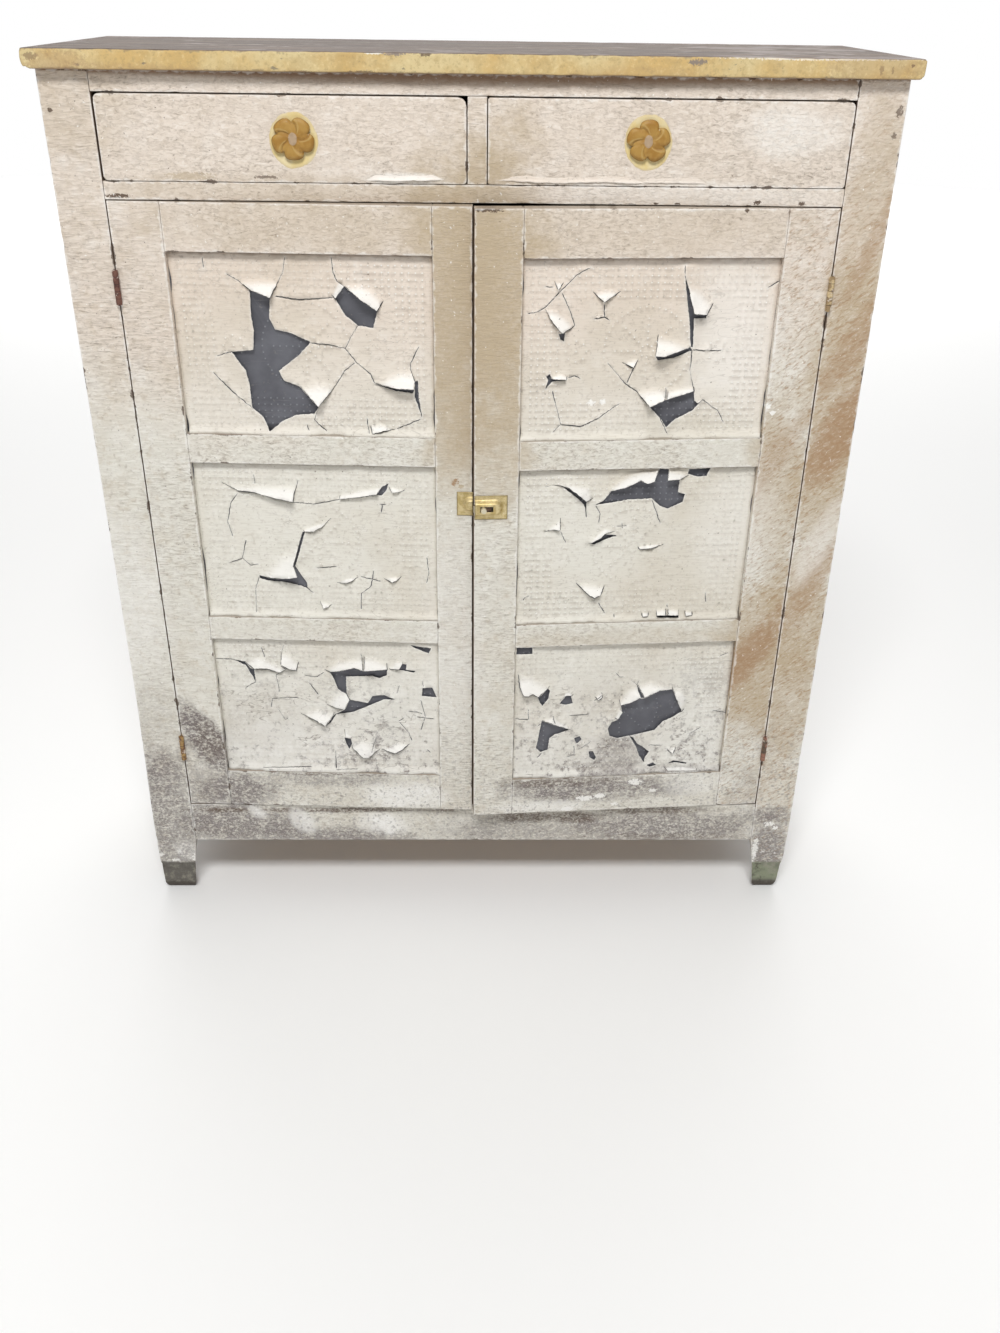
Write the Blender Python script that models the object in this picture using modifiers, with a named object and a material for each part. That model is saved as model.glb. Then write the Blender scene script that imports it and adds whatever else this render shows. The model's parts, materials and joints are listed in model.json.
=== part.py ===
"""Pie safe: a painted cupboard with two drawers over a pair of doors that hold punched tin panels.

Metres, +Z up, +X to the viewer's right, front towards -Y. The origin lies on the floor, under the
middle of the whole object's box. The doors stand a little ajar, as they rest. Run it with
blender --background --python part.py, or from the text editor.
"""

import math

import bmesh
import bpy
from mathutils import Matrix, Vector

# Clearances between pieces
CLEAR = 0.0003
SLIDE_CLEAR = 0.0004
BOLT_CLEAR = 0.0004

# Case frame
CASE_WIDTH = 1.040
CASE_DEPTH = 0.355
POST_WIDTH = 0.0605
POST_DEPTH = 0.045
LEG_HEIGHT = 0.104
APRON_HEIGHT = 0.0725
DRAWER_RAIL_HEIGHT = 0.0215
DRAWER_OPENING_HEIGHT = 0.0995
TOP_RAIL_HEIGHT = 0.024
RAIL_THICKNESS = 0.022
DIVIDER_WIDTH = 0.024
DIVIDER_X = 0.0015

# Top board
TOP_THICKNESS = 0.022
TOP_SIDE_OVERHANG = 0.011
TOP_FRONT_OVERHANG = 0.015
TOP_BACK_OVERHANG = 0.006
TOP_ROUNDING = 0.004

# Legs and feet
FOOT_HEIGHT = 0.056
FOOT_STEP = 0.0035
FOOT_TAPER = 0.004
FOOT_CHAMFER = 0.005
LEG_TAPER = 0.0035

# Case boards
SIDE_THICKNESS = 0.014
SIDE_SETBACK = 0.012
BACK_THICKNESS = 0.012
BACK_SETBACK = 0.006
GROOVE_DEPTH = 0.008
BOARD_THICKNESS = 0.018
DADO_DEPTH = 0.006
SHELF_SETBACK = 0.012

# Mortise and tenon joints
TENON_LENGTH = 0.025
TENON_THICKNESS = 0.008
TENON_SHOULDER = 0.004
DIVIDER_TENON_LENGTH = 0.008

# Drawers
DRAWER_SIDE_GAP = 0.0025
DRAWER_TOP_GAP = 0.003
DRAWER_PROUD = 0.001
DRAWER_FRONT_THICKNESS = 0.020
DRAWER_SIDE_THICKNESS = 0.012
DRAWER_SIDE_DROP = 0.012
DRAWER_BACK_THICKNESS = 0.010
DRAWER_BOTTOM_THICKNESS = 0.006
DRAWER_BOTTOM_RISE = 0.009
DRAWER_BACK_ROOM = 0.012
DRAWER_LAP = 0.008
DRAWER_GROOVE = 0.004
RUNNER_THICKNESS = 0.016
RUNNER_LEDGE = 0.022
GUIDE_HEIGHT = 0.026

# Knobs
KNOB_RADIUS = 0.0273
KNOB_HEIGHT_SHARE = 0.92
KNOB_THICKNESS = 0.008
KNOB_PROUD = 0.010
KNOB_LOBES = 5
KNOB_NOTCH = 0.18
KNOB_TURN_DEGREES = {"left": -16.0, "right": 18.0}
KNOB_NECK_RADIUS = 0.009
KNOB_DOWEL_RADIUS = 0.004
KNOB_DOWEL_LENGTH = 0.012
KNOB_RISE = 0.003
KNOB_SHIFT = {"left": 0.0135, "right": -0.027}

# Doors
DOOR_THICKNESS = 0.022
DOOR_GAP = 0.002
HINGE_GAP = 0.002
MEETING_GAP = 0.003
MEETING_X = -0.003
HINGE_STILE = 0.064
MEETING_STILE = {"left": 0.050, "right": 0.0605}
DOOR_BOTTOM_RAIL = 0.0655
DOOR_LOWER_RAIL = 0.0375
DOOR_UPPER_RAIL = 0.0415
DOOR_TOP_RAIL = 0.059
TIN_OPENING_HEIGHT = 0.238
TIN_THICKNESS = 0.001
TIN_LAP = 0.008
TIN_RECESS = 0.010
AJAR_DEGREES = {"left": 2.2, "right": 4.0}

# Hinges
HINGE_HEIGHT = 0.043
LEAF_THICKNESS = 0.0014
LEAF_DEPTH = 0.017
KNUCKLE_RADIUS = 0.00375
PIN_RADIUS = 0.0016
PIN_OVERRUN = 0.0012
UPPER_HINGE_DROP = 0.1035
LOWER_HINGE_RISE = 0.1095

# Latch
LATCH_RISE = 0.527
LATCH_PLATE_WIDTH = 0.043
LATCH_PLATE_HEIGHT = 0.035
LATCH_PLATE_THICKNESS = 0.0012
LATCH_PLATE_SETBACK = 0.0025
LATCH_WALL = 0.0012
HOUSING_LENGTH = 0.037
HOUSING_HEIGHT = 0.020
BOLT_THICKNESS = 0.0044
BOLT_HEIGHT = 0.010
BOLT_LENGTH = 0.025
BOLT_NOSE = 0.0021
BOLT_TRAVEL = 0.009
BUTTON_RADIUS = 0.0038
BUTTON_REACH = 0.007
BUTTON_PLACE = 0.0092
KEEPER_WIDTH = 0.021
KEEPER_POCKET_DEPTH = 0.0105
KEEPER_LIP = 0.002

# Round pieces are cut into this many sides
ROUND_SIDES = 20

# Levels, from the floor up
APRON_TOP = LEG_HEIGHT + APRON_HEIGHT
DOOR_BOTTOM = APRON_TOP + DOOR_GAP
DOOR_RAILS = DOOR_BOTTOM_RAIL + DOOR_LOWER_RAIL + DOOR_UPPER_RAIL + DOOR_TOP_RAIL
DOOR_HEIGHT = DOOR_RAILS + 3 * TIN_OPENING_HEIGHT
DOOR_TOP = DOOR_BOTTOM + DOOR_HEIGHT
DRAWER_RAIL_BOTTOM = DOOR_TOP + DOOR_GAP
DRAWER_RAIL_TOP = DRAWER_RAIL_BOTTOM + DRAWER_RAIL_HEIGHT
TOP_RAIL_BOTTOM = DRAWER_RAIL_TOP + DRAWER_OPENING_HEIGHT
TOP_BOTTOM = TOP_RAIL_BOTTOM + TOP_RAIL_HEIGHT
TOP_SURFACE = TOP_BOTTOM + TOP_THICKNESS
LOWER_RAIL_BOTTOM = DOOR_BOTTOM + DOOR_BOTTOM_RAIL + TIN_OPENING_HEIGHT
LOWER_RAIL_TOP = LOWER_RAIL_BOTTOM + DOOR_LOWER_RAIL
UPPER_RAIL_BOTTOM = LOWER_RAIL_TOP + TIN_OPENING_HEIGHT
UPPER_RAIL_TOP = UPPER_RAIL_BOTTOM + DOOR_UPPER_RAIL

# Places across the case
HALF_WIDTH = CASE_WIDTH / 2
POST_INNER = HALF_WIDTH - POST_WIDTH
SIDE_OUTER = HALF_WIDTH - SIDE_SETBACK
SIDE_INNER = SIDE_OUTER - SIDE_THICKNESS
PIVOT_X = POST_INNER - HINGE_GAP / 2
DOOR_WIDTH = {
    "left": POST_INNER - HINGE_GAP + MEETING_X - MEETING_GAP / 2,
    "right": POST_INNER - HINGE_GAP - MEETING_X - MEETING_GAP / 2,
}

# The pin stands clear in front of the doors' face
PIVOT_PROUD = KNUCKLE_RADIUS + CLEAR
BOLT_BACK = LATCH_PLATE_THICKNESS + BOLT_CLEAR
BOLT_FRONT = BOLT_BACK + BOLT_THICKNESS
HOUSING_FRONT = BOLT_FRONT + BOLT_CLEAR + LATCH_WALL
BUTTON_FRONT = HOUSING_FRONT + BUTTON_REACH
BUTTON_FROM_EDGE = LATCH_PLATE_SETBACK + BUTTON_PLACE


def front_reach():
    """How far the foremost point stands in front of the case's front face."""
    angle = math.radians(AJAR_DEGREES["right"])
    along = HINGE_GAP / 2 + DOOR_WIDTH["right"] - BUTTON_FROM_EDGE + BUTTON_RADIUS
    proud = BUTTON_FRONT + CLEAR - PIVOT_PROUD
    button = PIVOT_PROUD + along * math.sin(angle) + proud * math.cos(angle)
    return max(button, TOP_FRONT_OVERHANG, DRAWER_PROUD + KNOB_PROUD)


# Places from front to back
FRONT = (front_reach() - CASE_DEPTH - TOP_BACK_OVERHANG) / 2
BACK = FRONT + CASE_DEPTH
BACK_BOARD_BACK = BACK - BACK_SETBACK
BACK_BOARD_FRONT = BACK_BOARD_BACK - BACK_THICKNESS
PIVOT_Y = FRONT - PIVOT_PROUD

# Finishes: base colour, roughness, metallic
WHITE_PAINT = ((0.66, 0.61, 0.54), 0.75, 0.0)
YELLOW_PAINT = ((0.72, 0.55, 0.22), 0.65, 0.0)
BARE_WOOD = ((0.34, 0.24, 0.15), 0.80, 0.0)
PAINTED_TIN = ((0.64, 0.62, 0.54), 0.65, 0.2)
RUSTY_IRON = ((0.30, 0.17, 0.09), 0.80, 0.6)
BRASS = ((0.70, 0.55, 0.25), 0.40, 0.9)
AMBER = ((0.48, 0.27, 0.04), 0.35, 0.0)


# Making and cutting solids


def clear_scene():
    for obj in list(bpy.data.objects):
        bpy.data.objects.remove(obj, do_unlink=True)


def new_collection(name):
    collection = bpy.data.collections.new(name)
    bpy.context.scene.collection.children.link(collection)
    return collection


clear_scene()
PARTS = new_collection("pie_safe")
CUTTERS = new_collection("cutters")


def paint(obj, finish):
    """Gives the object its own material."""
    colour, roughness, metallic = finish
    material = bpy.data.materials.new(obj.name)
    material.use_nodes = True
    shader = material.node_tree.nodes["Principled BSDF"]
    shader.inputs["Base Color"].default_value = (*colour, 1.0)
    shader.inputs["Roughness"].default_value = roughness
    shader.inputs["Metallic"].default_value = metallic
    obj.data.materials.append(material)


def add_object(name, bm, place, finish, parent):
    """Links a bmesh as a part, or as a cutter where it has no finish."""
    mesh = bpy.data.meshes.new(name)
    bm.to_mesh(mesh)
    bm.free()
    obj = bpy.data.objects.new(name, mesh)
    obj.location = place
    obj.parent = parent
    if finish is None:
        CUTTERS.objects.link(obj)
        obj.hide_render = True
        obj.display_type = "WIRE"
    else:
        PARTS.objects.link(obj)
        paint(obj, finish)
    return obj


def box(name, xs, ys, zs, finish=None, parent=None):
    """A box between two places on each axis, given in either order."""
    spans = [sorted(span) for span in (xs, ys, zs)]
    low = Vector([span[0] for span in spans])
    high = Vector([span[1] for span in spans])
    bm = bmesh.new()
    bmesh.ops.create_cube(bm, size=1.0)
    bmesh.ops.scale(bm, vec=high - low, verts=bm.verts)
    return add_object(name, bm, (low + high) / 2, finish, parent)


def rod(name, radius, start, end, finish=None, parent=None):
    """A round bar from one point to another."""
    start = Vector(start)
    end = Vector(end)
    bm = bmesh.new()
    bmesh.ops.create_cone(
        bm,
        cap_ends=True,
        segments=ROUND_SIDES,
        radius1=radius,
        radius2=radius,
        depth=(end - start).length,
    )
    turn = Vector((0, 0, 1)).rotation_difference(end - start)
    bmesh.ops.rotate(bm, cent=(0, 0, 0), matrix=turn.to_matrix(), verts=bm.verts)
    obj = add_object(name, bm, (start + end) / 2, finish, parent)
    obj.data.shade_smooth()
    obj.data.set_sharp_from_angle(angle=math.radians(40))
    return obj


def grown(span, amount=CLEAR):
    low, high = sorted(span)
    return (low - amount, high + amount)


def boolean(target, tool, operation):
    modifier = target.modifiers.new(tool.name, "BOOLEAN")
    modifier.operation = operation
    modifier.object = tool


def cut(tool, *targets):
    for target in targets:
        boolean(target, tool, "DIFFERENCE")


def join(target, *tools):
    for tool in tools:
        boolean(target, tool, "UNION")


def empty(name, place):
    obj = bpy.data.objects.new(name, None)
    obj.location = place
    PARTS.objects.link(obj)
    return obj


def tenoned(name, rail, tenon, homes, parent=None):
    """A rail with one bar of tenons through it, let into the pieces at its two ends."""
    piece = box(name, *rail, WHITE_PAINT, parent)
    join(piece, box(name + "_tenon", *tenon, parent=parent))
    mortise = [grown(span) for span in tenon]
    cut(box(name + "_mortise", *mortise, parent=parent), *homes)
    return piece


# Case


def make_post(name, side, is_front):
    """A corner post whose leg tapers on its inner faces to a smaller worn foot."""
    toward = 1 if is_front else -1
    outer_x = side * HALF_WIDTH
    outer_y = FRONT if is_front else BACK
    step_outer = FOOT_STEP
    step_inner = FOOT_STEP + LEG_TAPER
    sections = [
        (0.0, step_outer + FOOT_TAPER + FOOT_CHAMFER, step_inner + FOOT_TAPER + FOOT_CHAMFER),
        (FOOT_CHAMFER, step_outer + FOOT_TAPER, step_inner + FOOT_TAPER),
        (FOOT_HEIGHT, step_outer, step_inner),
        (FOOT_HEIGHT, 0.0, LEG_TAPER),
        (LEG_HEIGHT, 0.0, 0.0),
        (TOP_BOTTOM - CLEAR, 0.0, 0.0),
    ]
    bm = bmesh.new()
    rings = []
    for height, outer, inner in sections:
        xs = (outer_x - side * outer, outer_x - side * (POST_WIDTH - inner))
        ys = (outer_y + toward * outer, outer_y + toward * (POST_DEPTH - inner))
        corners = [(xs[0], ys[0]), (xs[1], ys[0]), (xs[1], ys[1]), (xs[0], ys[1])]
        rings.append([bm.verts.new((x, y, height)) for x, y in corners])
    for lower, upper in zip(rings, rings[1:]):
        for i in range(4):
            j = (i + 1) % 4
            bm.faces.new((lower[i], lower[j], upper[j], upper[i]))
    bm.faces.new(rings[0])
    bm.faces.new(rings[-1])
    bmesh.ops.recalc_face_normals(bm, faces=bm.faces)
    return add_object(name, bm, (0, 0, 0), WHITE_PAINT, None)


def make_front_rails(posts):
    """Top rail, drawer rail, apron and drawer divider, tenoned together."""
    ends = (-POST_INNER + CLEAR, POST_INNER - CLEAR)
    through = (-POST_INNER - TENON_LENGTH, POST_INNER + TENON_LENGTH)
    thin = (FRONT, FRONT + RAIL_THICKNESS)
    middle = FRONT + RAIL_THICKNESS / 2
    tongue = (middle - TENON_THICKNESS / 2, middle + TENON_THICKNESS / 2)
    homes = (posts["front_left"], posts["front_right"])
    heights = {
        "top_rail": (TOP_RAIL_BOTTOM, TOP_BOTTOM - CLEAR),
        "apron": (LEG_HEIGHT, APRON_TOP),
    }
    rails = {}
    for name, span in heights.items():
        tenon = (through, tongue, grown(span, -TENON_SHOULDER))
        rails[name] = tenoned(name, (ends, thin, span), tenon, homes)
    span = (DRAWER_RAIL_BOTTOM, DRAWER_RAIL_TOP)
    deep = (FRONT, FRONT + POST_DEPTH)
    tenon = (through, grown(deep, -GROOVE_DEPTH - TENON_SHOULDER), grown(span, -TENON_SHOULDER))
    rails["drawer_rail"] = tenoned("drawer_rail", (ends, deep, span), tenon, homes)

    sides = (DIVIDER_X - DIVIDER_WIDTH / 2, DIVIDER_X + DIVIDER_WIDTH / 2)
    span = (DRAWER_RAIL_TOP + CLEAR, TOP_RAIL_BOTTOM - CLEAR)
    reach = (DRAWER_RAIL_TOP - DIVIDER_TENON_LENGTH, TOP_RAIL_BOTTOM + DIVIDER_TENON_LENGTH)
    tenon = (grown(sides, -TENON_SHOULDER), tongue, reach)
    homes = (rails["top_rail"], rails["drawer_rail"])
    tenoned("drawer_divider", (sides, thin, span), tenon, homes)


def make_sides_and_back(posts):
    """Side boards between the posts and two back boards, all let into grooves."""
    sides = {}
    along = (FRONT + POST_DEPTH - GROOVE_DEPTH, BACK - POST_DEPTH + GROOVE_DEPTH)
    tall = (LEG_HEIGHT, TOP_BOTTOM - CLEAR)
    for side, sign in (("left", -1), ("right", 1)):
        thick = (sign * SIDE_INNER, sign * SIDE_OUTER)
        sides[side] = box("side_" + side, thick, along, tall, WHITE_PAINT)
        groove_spans = (grown(thick), grown(along), (tall[0] - CLEAR, tall[1] + 2 * CLEAR))
        groove = box("side_%s_groove" % side, *groove_spans)
        cut(groove, posts["front_" + side], posts["back_" + side])

    across = (-POST_INNER - GROOVE_DEPTH, POST_INNER + GROOVE_DEPTH)
    thick = (BACK_BOARD_FRONT, BACK_BOARD_BACK)
    seam = (tall[0] + tall[1]) / 2
    box("back_board_lower", across, thick, (tall[0], seam - CLEAR / 2), BARE_WOOD)
    box("back_board_upper", across, thick, (seam + CLEAR / 2, tall[1]), BARE_WOOD)
    groove_spans = (grown(across), grown(thick), (tall[0] - CLEAR, tall[1] + 2 * CLEAR))
    groove = box("back_groove", *groove_spans)
    cut(groove, posts["back_left"], posts["back_right"])
    return sides


def make_boards(sides):
    """Bottom board and two shelves, notched round the posts and let into the side boards."""
    notches = []
    for sign in (-1, 1):
        for near, far in ((FRONT - CLEAR, FRONT + POST_DEPTH), (BACK - POST_DEPTH, BACK)):
            name = "post_notch_%d" % len(notches)
            across = (sign * (POST_INNER - CLEAR), sign * CASE_WIDTH)
            tall = (LEG_HEIGHT, TOP_SURFACE)
            notches.append(box(name, across, grown((near, far)), tall))
    behind_apron = FRONT + RAIL_THICKNESS + CLEAR
    behind_doors = FRONT + DOOR_THICKNESS + SHELF_SETBACK
    lower_middle = (LOWER_RAIL_BOTTOM + LOWER_RAIL_TOP) / 2
    upper_middle = (UPPER_RAIL_BOTTOM + UPPER_RAIL_TOP) / 2
    boards = {
        "bottom_board": (behind_apron, APRON_TOP - BOARD_THICKNESS / 2),
        "shelf_lower": (behind_doors, lower_middle),
        "shelf_upper": (behind_doors, upper_middle),
    }
    for name, (near, level) in boards.items():
        across = (-SIDE_INNER - DADO_DEPTH, SIDE_INNER + DADO_DEPTH)
        along = (near, BACK_BOARD_FRONT - CLEAR)
        tall = (level - BOARD_THICKNESS / 2, level + BOARD_THICKNESS / 2)
        board = box(name, across, along, tall, BARE_WOOD)
        for notch in notches:
            cut(notch, board)
        dado = box(name + "_dado", grown(across), grown(along), grown(tall))
        cut(dado, *sides.values())


def make_runners():
    """Ledges that carry the drawers, each with a guide standing on it."""
    ledge = (DRAWER_RAIL_TOP - RUNNER_THICKNESS, DRAWER_RAIL_TOP)
    guide_tall = (DRAWER_RAIL_TOP - RUNNER_THICKNESS / 2, DRAWER_RAIL_TOP + GUIDE_HEIGHT)
    between_posts = (FRONT + POST_DEPTH + CLEAR, BACK - POST_DEPTH - CLEAR)
    for side, sign in (("left", -1), ("right", 1)):
        outer = sign * (SIDE_INNER - CLEAR)
        across = (outer, sign * (POST_INNER - RUNNER_LEDGE))
        runner = box("runner_" + side, across, between_posts, ledge, BARE_WOOD)
        guide = (outer, sign * POST_INNER)
        join(runner, box("guide_" + side, guide, between_posts, guide_tall))
    half = DIVIDER_WIDTH / 2
    to_back = (FRONT + POST_DEPTH + CLEAR, BACK_BOARD_FRONT - CLEAR)
    across = (DIVIDER_X - half - RUNNER_LEDGE, DIVIDER_X + half + RUNNER_LEDGE)
    runner = box("runner_centre", across, to_back, ledge, BARE_WOOD)
    guide = (DIVIDER_X - half, DIVIDER_X + half)
    join(runner, box("guide_centre", guide, to_back, guide_tall))


def make_top():
    across = (-HALF_WIDTH - TOP_SIDE_OVERHANG, HALF_WIDTH + TOP_SIDE_OVERHANG)
    along = (FRONT - TOP_FRONT_OVERHANG, BACK + TOP_BACK_OVERHANG)
    top = box("top_board", across, along, (TOP_BOTTOM, TOP_SURFACE), YELLOW_PAINT)
    rounding = top.modifiers.new("rounded_edges", "BEVEL")
    rounding.width = TOP_ROUNDING
    rounding.segments = 2


def make_case():
    posts = {}
    for depth in ("front", "back"):
        for side, sign in (("left", -1), ("right", 1)):
            name = "%s_%s" % (depth, side)
            posts[name] = make_post("post_" + name, sign, depth == "front")
    make_front_rails(posts)
    sides = make_sides_and_back(posts)
    make_boards(sides)
    make_runners()
    make_top()
    return posts


# Drawers


def petal_reach(angle):
    """The flower's radius at an angle from one of its petals, as a share of its largest."""
    lobe = abs(math.cos(angle * KNOB_LOBES / 2))
    return 1.0 - KNOB_NOTCH * (1.0 - lobe) ** 2


def make_knob(name, x, z, turn, front, front_face, parent):
    """A flat flower on a short neck, with a dowel let into the drawer front."""
    bm = bmesh.new()
    bmesh.ops.create_uvsphere(bm, u_segments=8 * KNOB_LOBES, v_segments=10, radius=1.0)
    for vert in bm.verts:
        reach = KNOB_RADIUS * petal_reach(math.atan2(vert.co.y, vert.co.x) - turn)
        tall = reach * KNOB_HEIGHT_SHARE
        vert.co = Vector((vert.co.x * reach, vert.co.y * tall, vert.co.z * KNOB_THICKNESS / 2))
    upright = Matrix.Rotation(math.radians(90), 3, "X")
    bmesh.ops.rotate(bm, cent=(0, 0, 0), matrix=upright, verts=bm.verts)
    flower_y = front_face - KNOB_PROUD + KNOB_THICKNESS / 2
    knob = add_object(name, bm, (x, flower_y, z), AMBER, parent)
    knob.data.shade_smooth()
    seat = front_face - CLEAR
    neck = rod(name + "_neck", KNOB_NECK_RADIUS, (x, flower_y, z), (x, seat, z), parent=parent)
    dowel_end = front_face + KNOB_DOWEL_LENGTH
    dowel = rod(name + "_dowel", KNOB_DOWEL_RADIUS, (x, flower_y, z), (x, dowel_end, z), parent=parent)
    join(knob, neck, dowel)
    hole_start = (x, front_face - KNOB_PROUD, z)
    hole_end = (x, dowel_end + CLEAR, z)
    hole = rod(name + "_hole", KNOB_DOWEL_RADIUS + CLEAR, hole_start, hole_end, parent=parent)
    cut(hole, front)


def make_drawer(side):
    """A drawer of five boards and a knob, held on an empty at the middle of its front."""
    if side == "left":
        opening = (-POST_INNER, DIVIDER_X - DIVIDER_WIDTH / 2)
    else:
        opening = (DIVIDER_X + DIVIDER_WIDTH / 2, POST_INNER)
    centre = sum(opening) / 2
    half = (opening[1] - opening[0]) / 2 - DRAWER_SIDE_GAP
    bottom = SLIDE_CLEAR
    top = DRAWER_OPENING_HEIGHT - DRAWER_TOP_GAP
    root = empty("drawer_" + side, (centre, FRONT, DRAWER_RAIL_TOP))
    prefix = "drawer_%s_" % side

    face = -DRAWER_PROUD
    inner = face + DRAWER_FRONT_THICKNESS
    rear = BACK_BOARD_FRONT - FRONT - DRAWER_BACK_ROOM
    front = box(prefix + "front", (-half, half), (face, inner), (bottom, top), WHITE_PAINT, root)

    side_top = top - DRAWER_SIDE_DROP
    walls = []
    for wall, sign in (("left", -1), ("right", 1)):
        thick = (sign * (half - CLEAR), sign * (half - CLEAR - DRAWER_SIDE_THICKNESS))
        spans = (thick, (inner - DRAWER_LAP, rear), (bottom, side_top))
        walls.append(box(prefix + "side_" + wall, *spans, BARE_WOOD, root))
        socket = (grown(thick), (inner - DRAWER_LAP - CLEAR, rear), (-CLEAR, side_top + CLEAR))
        cut(box(prefix + "socket_" + wall, *socket, parent=root), front)

    wall_inner = half - CLEAR - DRAWER_SIDE_THICKNESS
    across = (-wall_inner - DRAWER_GROOVE, wall_inner + DRAWER_GROOVE)
    back_thick = (rear - DRAWER_SIDE_THICKNESS - DRAWER_BACK_THICKNESS, rear - DRAWER_SIDE_THICKNESS)
    back_spans = (across, back_thick, (bottom, side_top))
    back = box(prefix + "back", *back_spans, BARE_WOOD, root)
    cut(box(prefix + "back_dado", *[grown(span) for span in back_spans], parent=root), *walls)

    floor_along = (inner - DRAWER_GROOVE, back_thick[0] + DRAWER_GROOVE)
    floor_tall = (DRAWER_BOTTOM_RISE, DRAWER_BOTTOM_RISE + DRAWER_BOTTOM_THICKNESS)
    floor_spans = (across, floor_along, floor_tall)
    box(prefix + "bottom", *floor_spans, BARE_WOOD, root)
    groove = box(prefix + "bottom_groove", *[grown(span) for span in floor_spans], parent=root)
    cut(groove, front, back, *walls)

    knob_z = (bottom + top) / 2 + KNOB_RISE
    turn = math.radians(KNOB_TURN_DEGREES[side])
    make_knob(prefix + "knob", KNOB_SHIFT[side], knob_z, turn, front, face, root)


# Doors, in a frame whose Z axis is the hinge pin; the door lies along +X on the left, -X on the right


def make_leaf(name, sign, own_side, centre, thirds, parent, place):
    """A hinge leaf: a plate, and a neck and barrel for each of its own thirds of the knuckle."""
    pin_x, face_y = place
    plate_x = [pin_x + sign * own_side * depth for depth in (CLEAR / 2, CLEAR / 2 + LEAF_THICKNESS)]
    plate_y = (face_y + CLEAR, face_y + LEAF_DEPTH)
    tall = (centre - HINGE_HEIGHT / 2, centre + HINGE_HEIGHT / 2)
    leaf = box(name, plate_x, plate_y, tall, RUSTY_IRON, parent)
    pin_y = face_y - PIVOT_PROUD
    third = HINGE_HEIGHT / 3
    for index in thirds:
        low = tall[0] + index * third + CLEAR / 2
        high = low + third - CLEAR
        neck_y = (pin_y, plate_y[0] + LEAF_THICKNESS)
        neck = box("%s_neck_%d" % (name, index), plate_x, neck_y, (low, high), parent=parent)
        ends = ((pin_x, pin_y, low), (pin_x, pin_y, high))
        barrel = rod("%s_barrel_%d" % (name, index), KNUCKLE_RADIUS, *ends, parent=parent)
        join(leaf, neck, barrel)
    return leaf, tall, plate_x, plate_y


def make_hinge(name, sign, centre, door, post, stile):
    """A butt hinge let into the post and the door's edge, its pin fast in the post's leaf."""
    place = (-sign * PIVOT_X, FRONT)
    leaf, tall, plate_x, plate_y = make_leaf(name + "_post_leaf", sign, -1, centre, (0, 2), None, place)
    pin = [(place[0], PIVOT_Y, tall[0] - PIN_OVERRUN), (place[0], PIVOT_Y, tall[1] + PIN_OVERRUN)]
    join(leaf, rod(name + "_pin", PIN_RADIUS, *pin))
    recess = (grown(plate_x), (FRONT - PIVOT_PROUD, plate_y[1] + CLEAR), grown(tall))
    cut(box(name + "_post_recess", *recess), post)

    place = (0.0, PIVOT_PROUD)
    leaf, tall, plate_x, plate_y = make_leaf(name + "_door_leaf", sign, 1, centre, (1,), door, place)
    bore_ends = ((0, 0, tall[0]), (0, 0, tall[1]))
    cut(rod(name + "_bore", PIN_RADIUS + CLEAR, *bore_ends, parent=door), leaf)
    recess = (grown(plate_x), (0, plate_y[1] + CLEAR), grown(tall))
    cut(box(name + "_door_recess", *recess, parent=door), stile)


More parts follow.
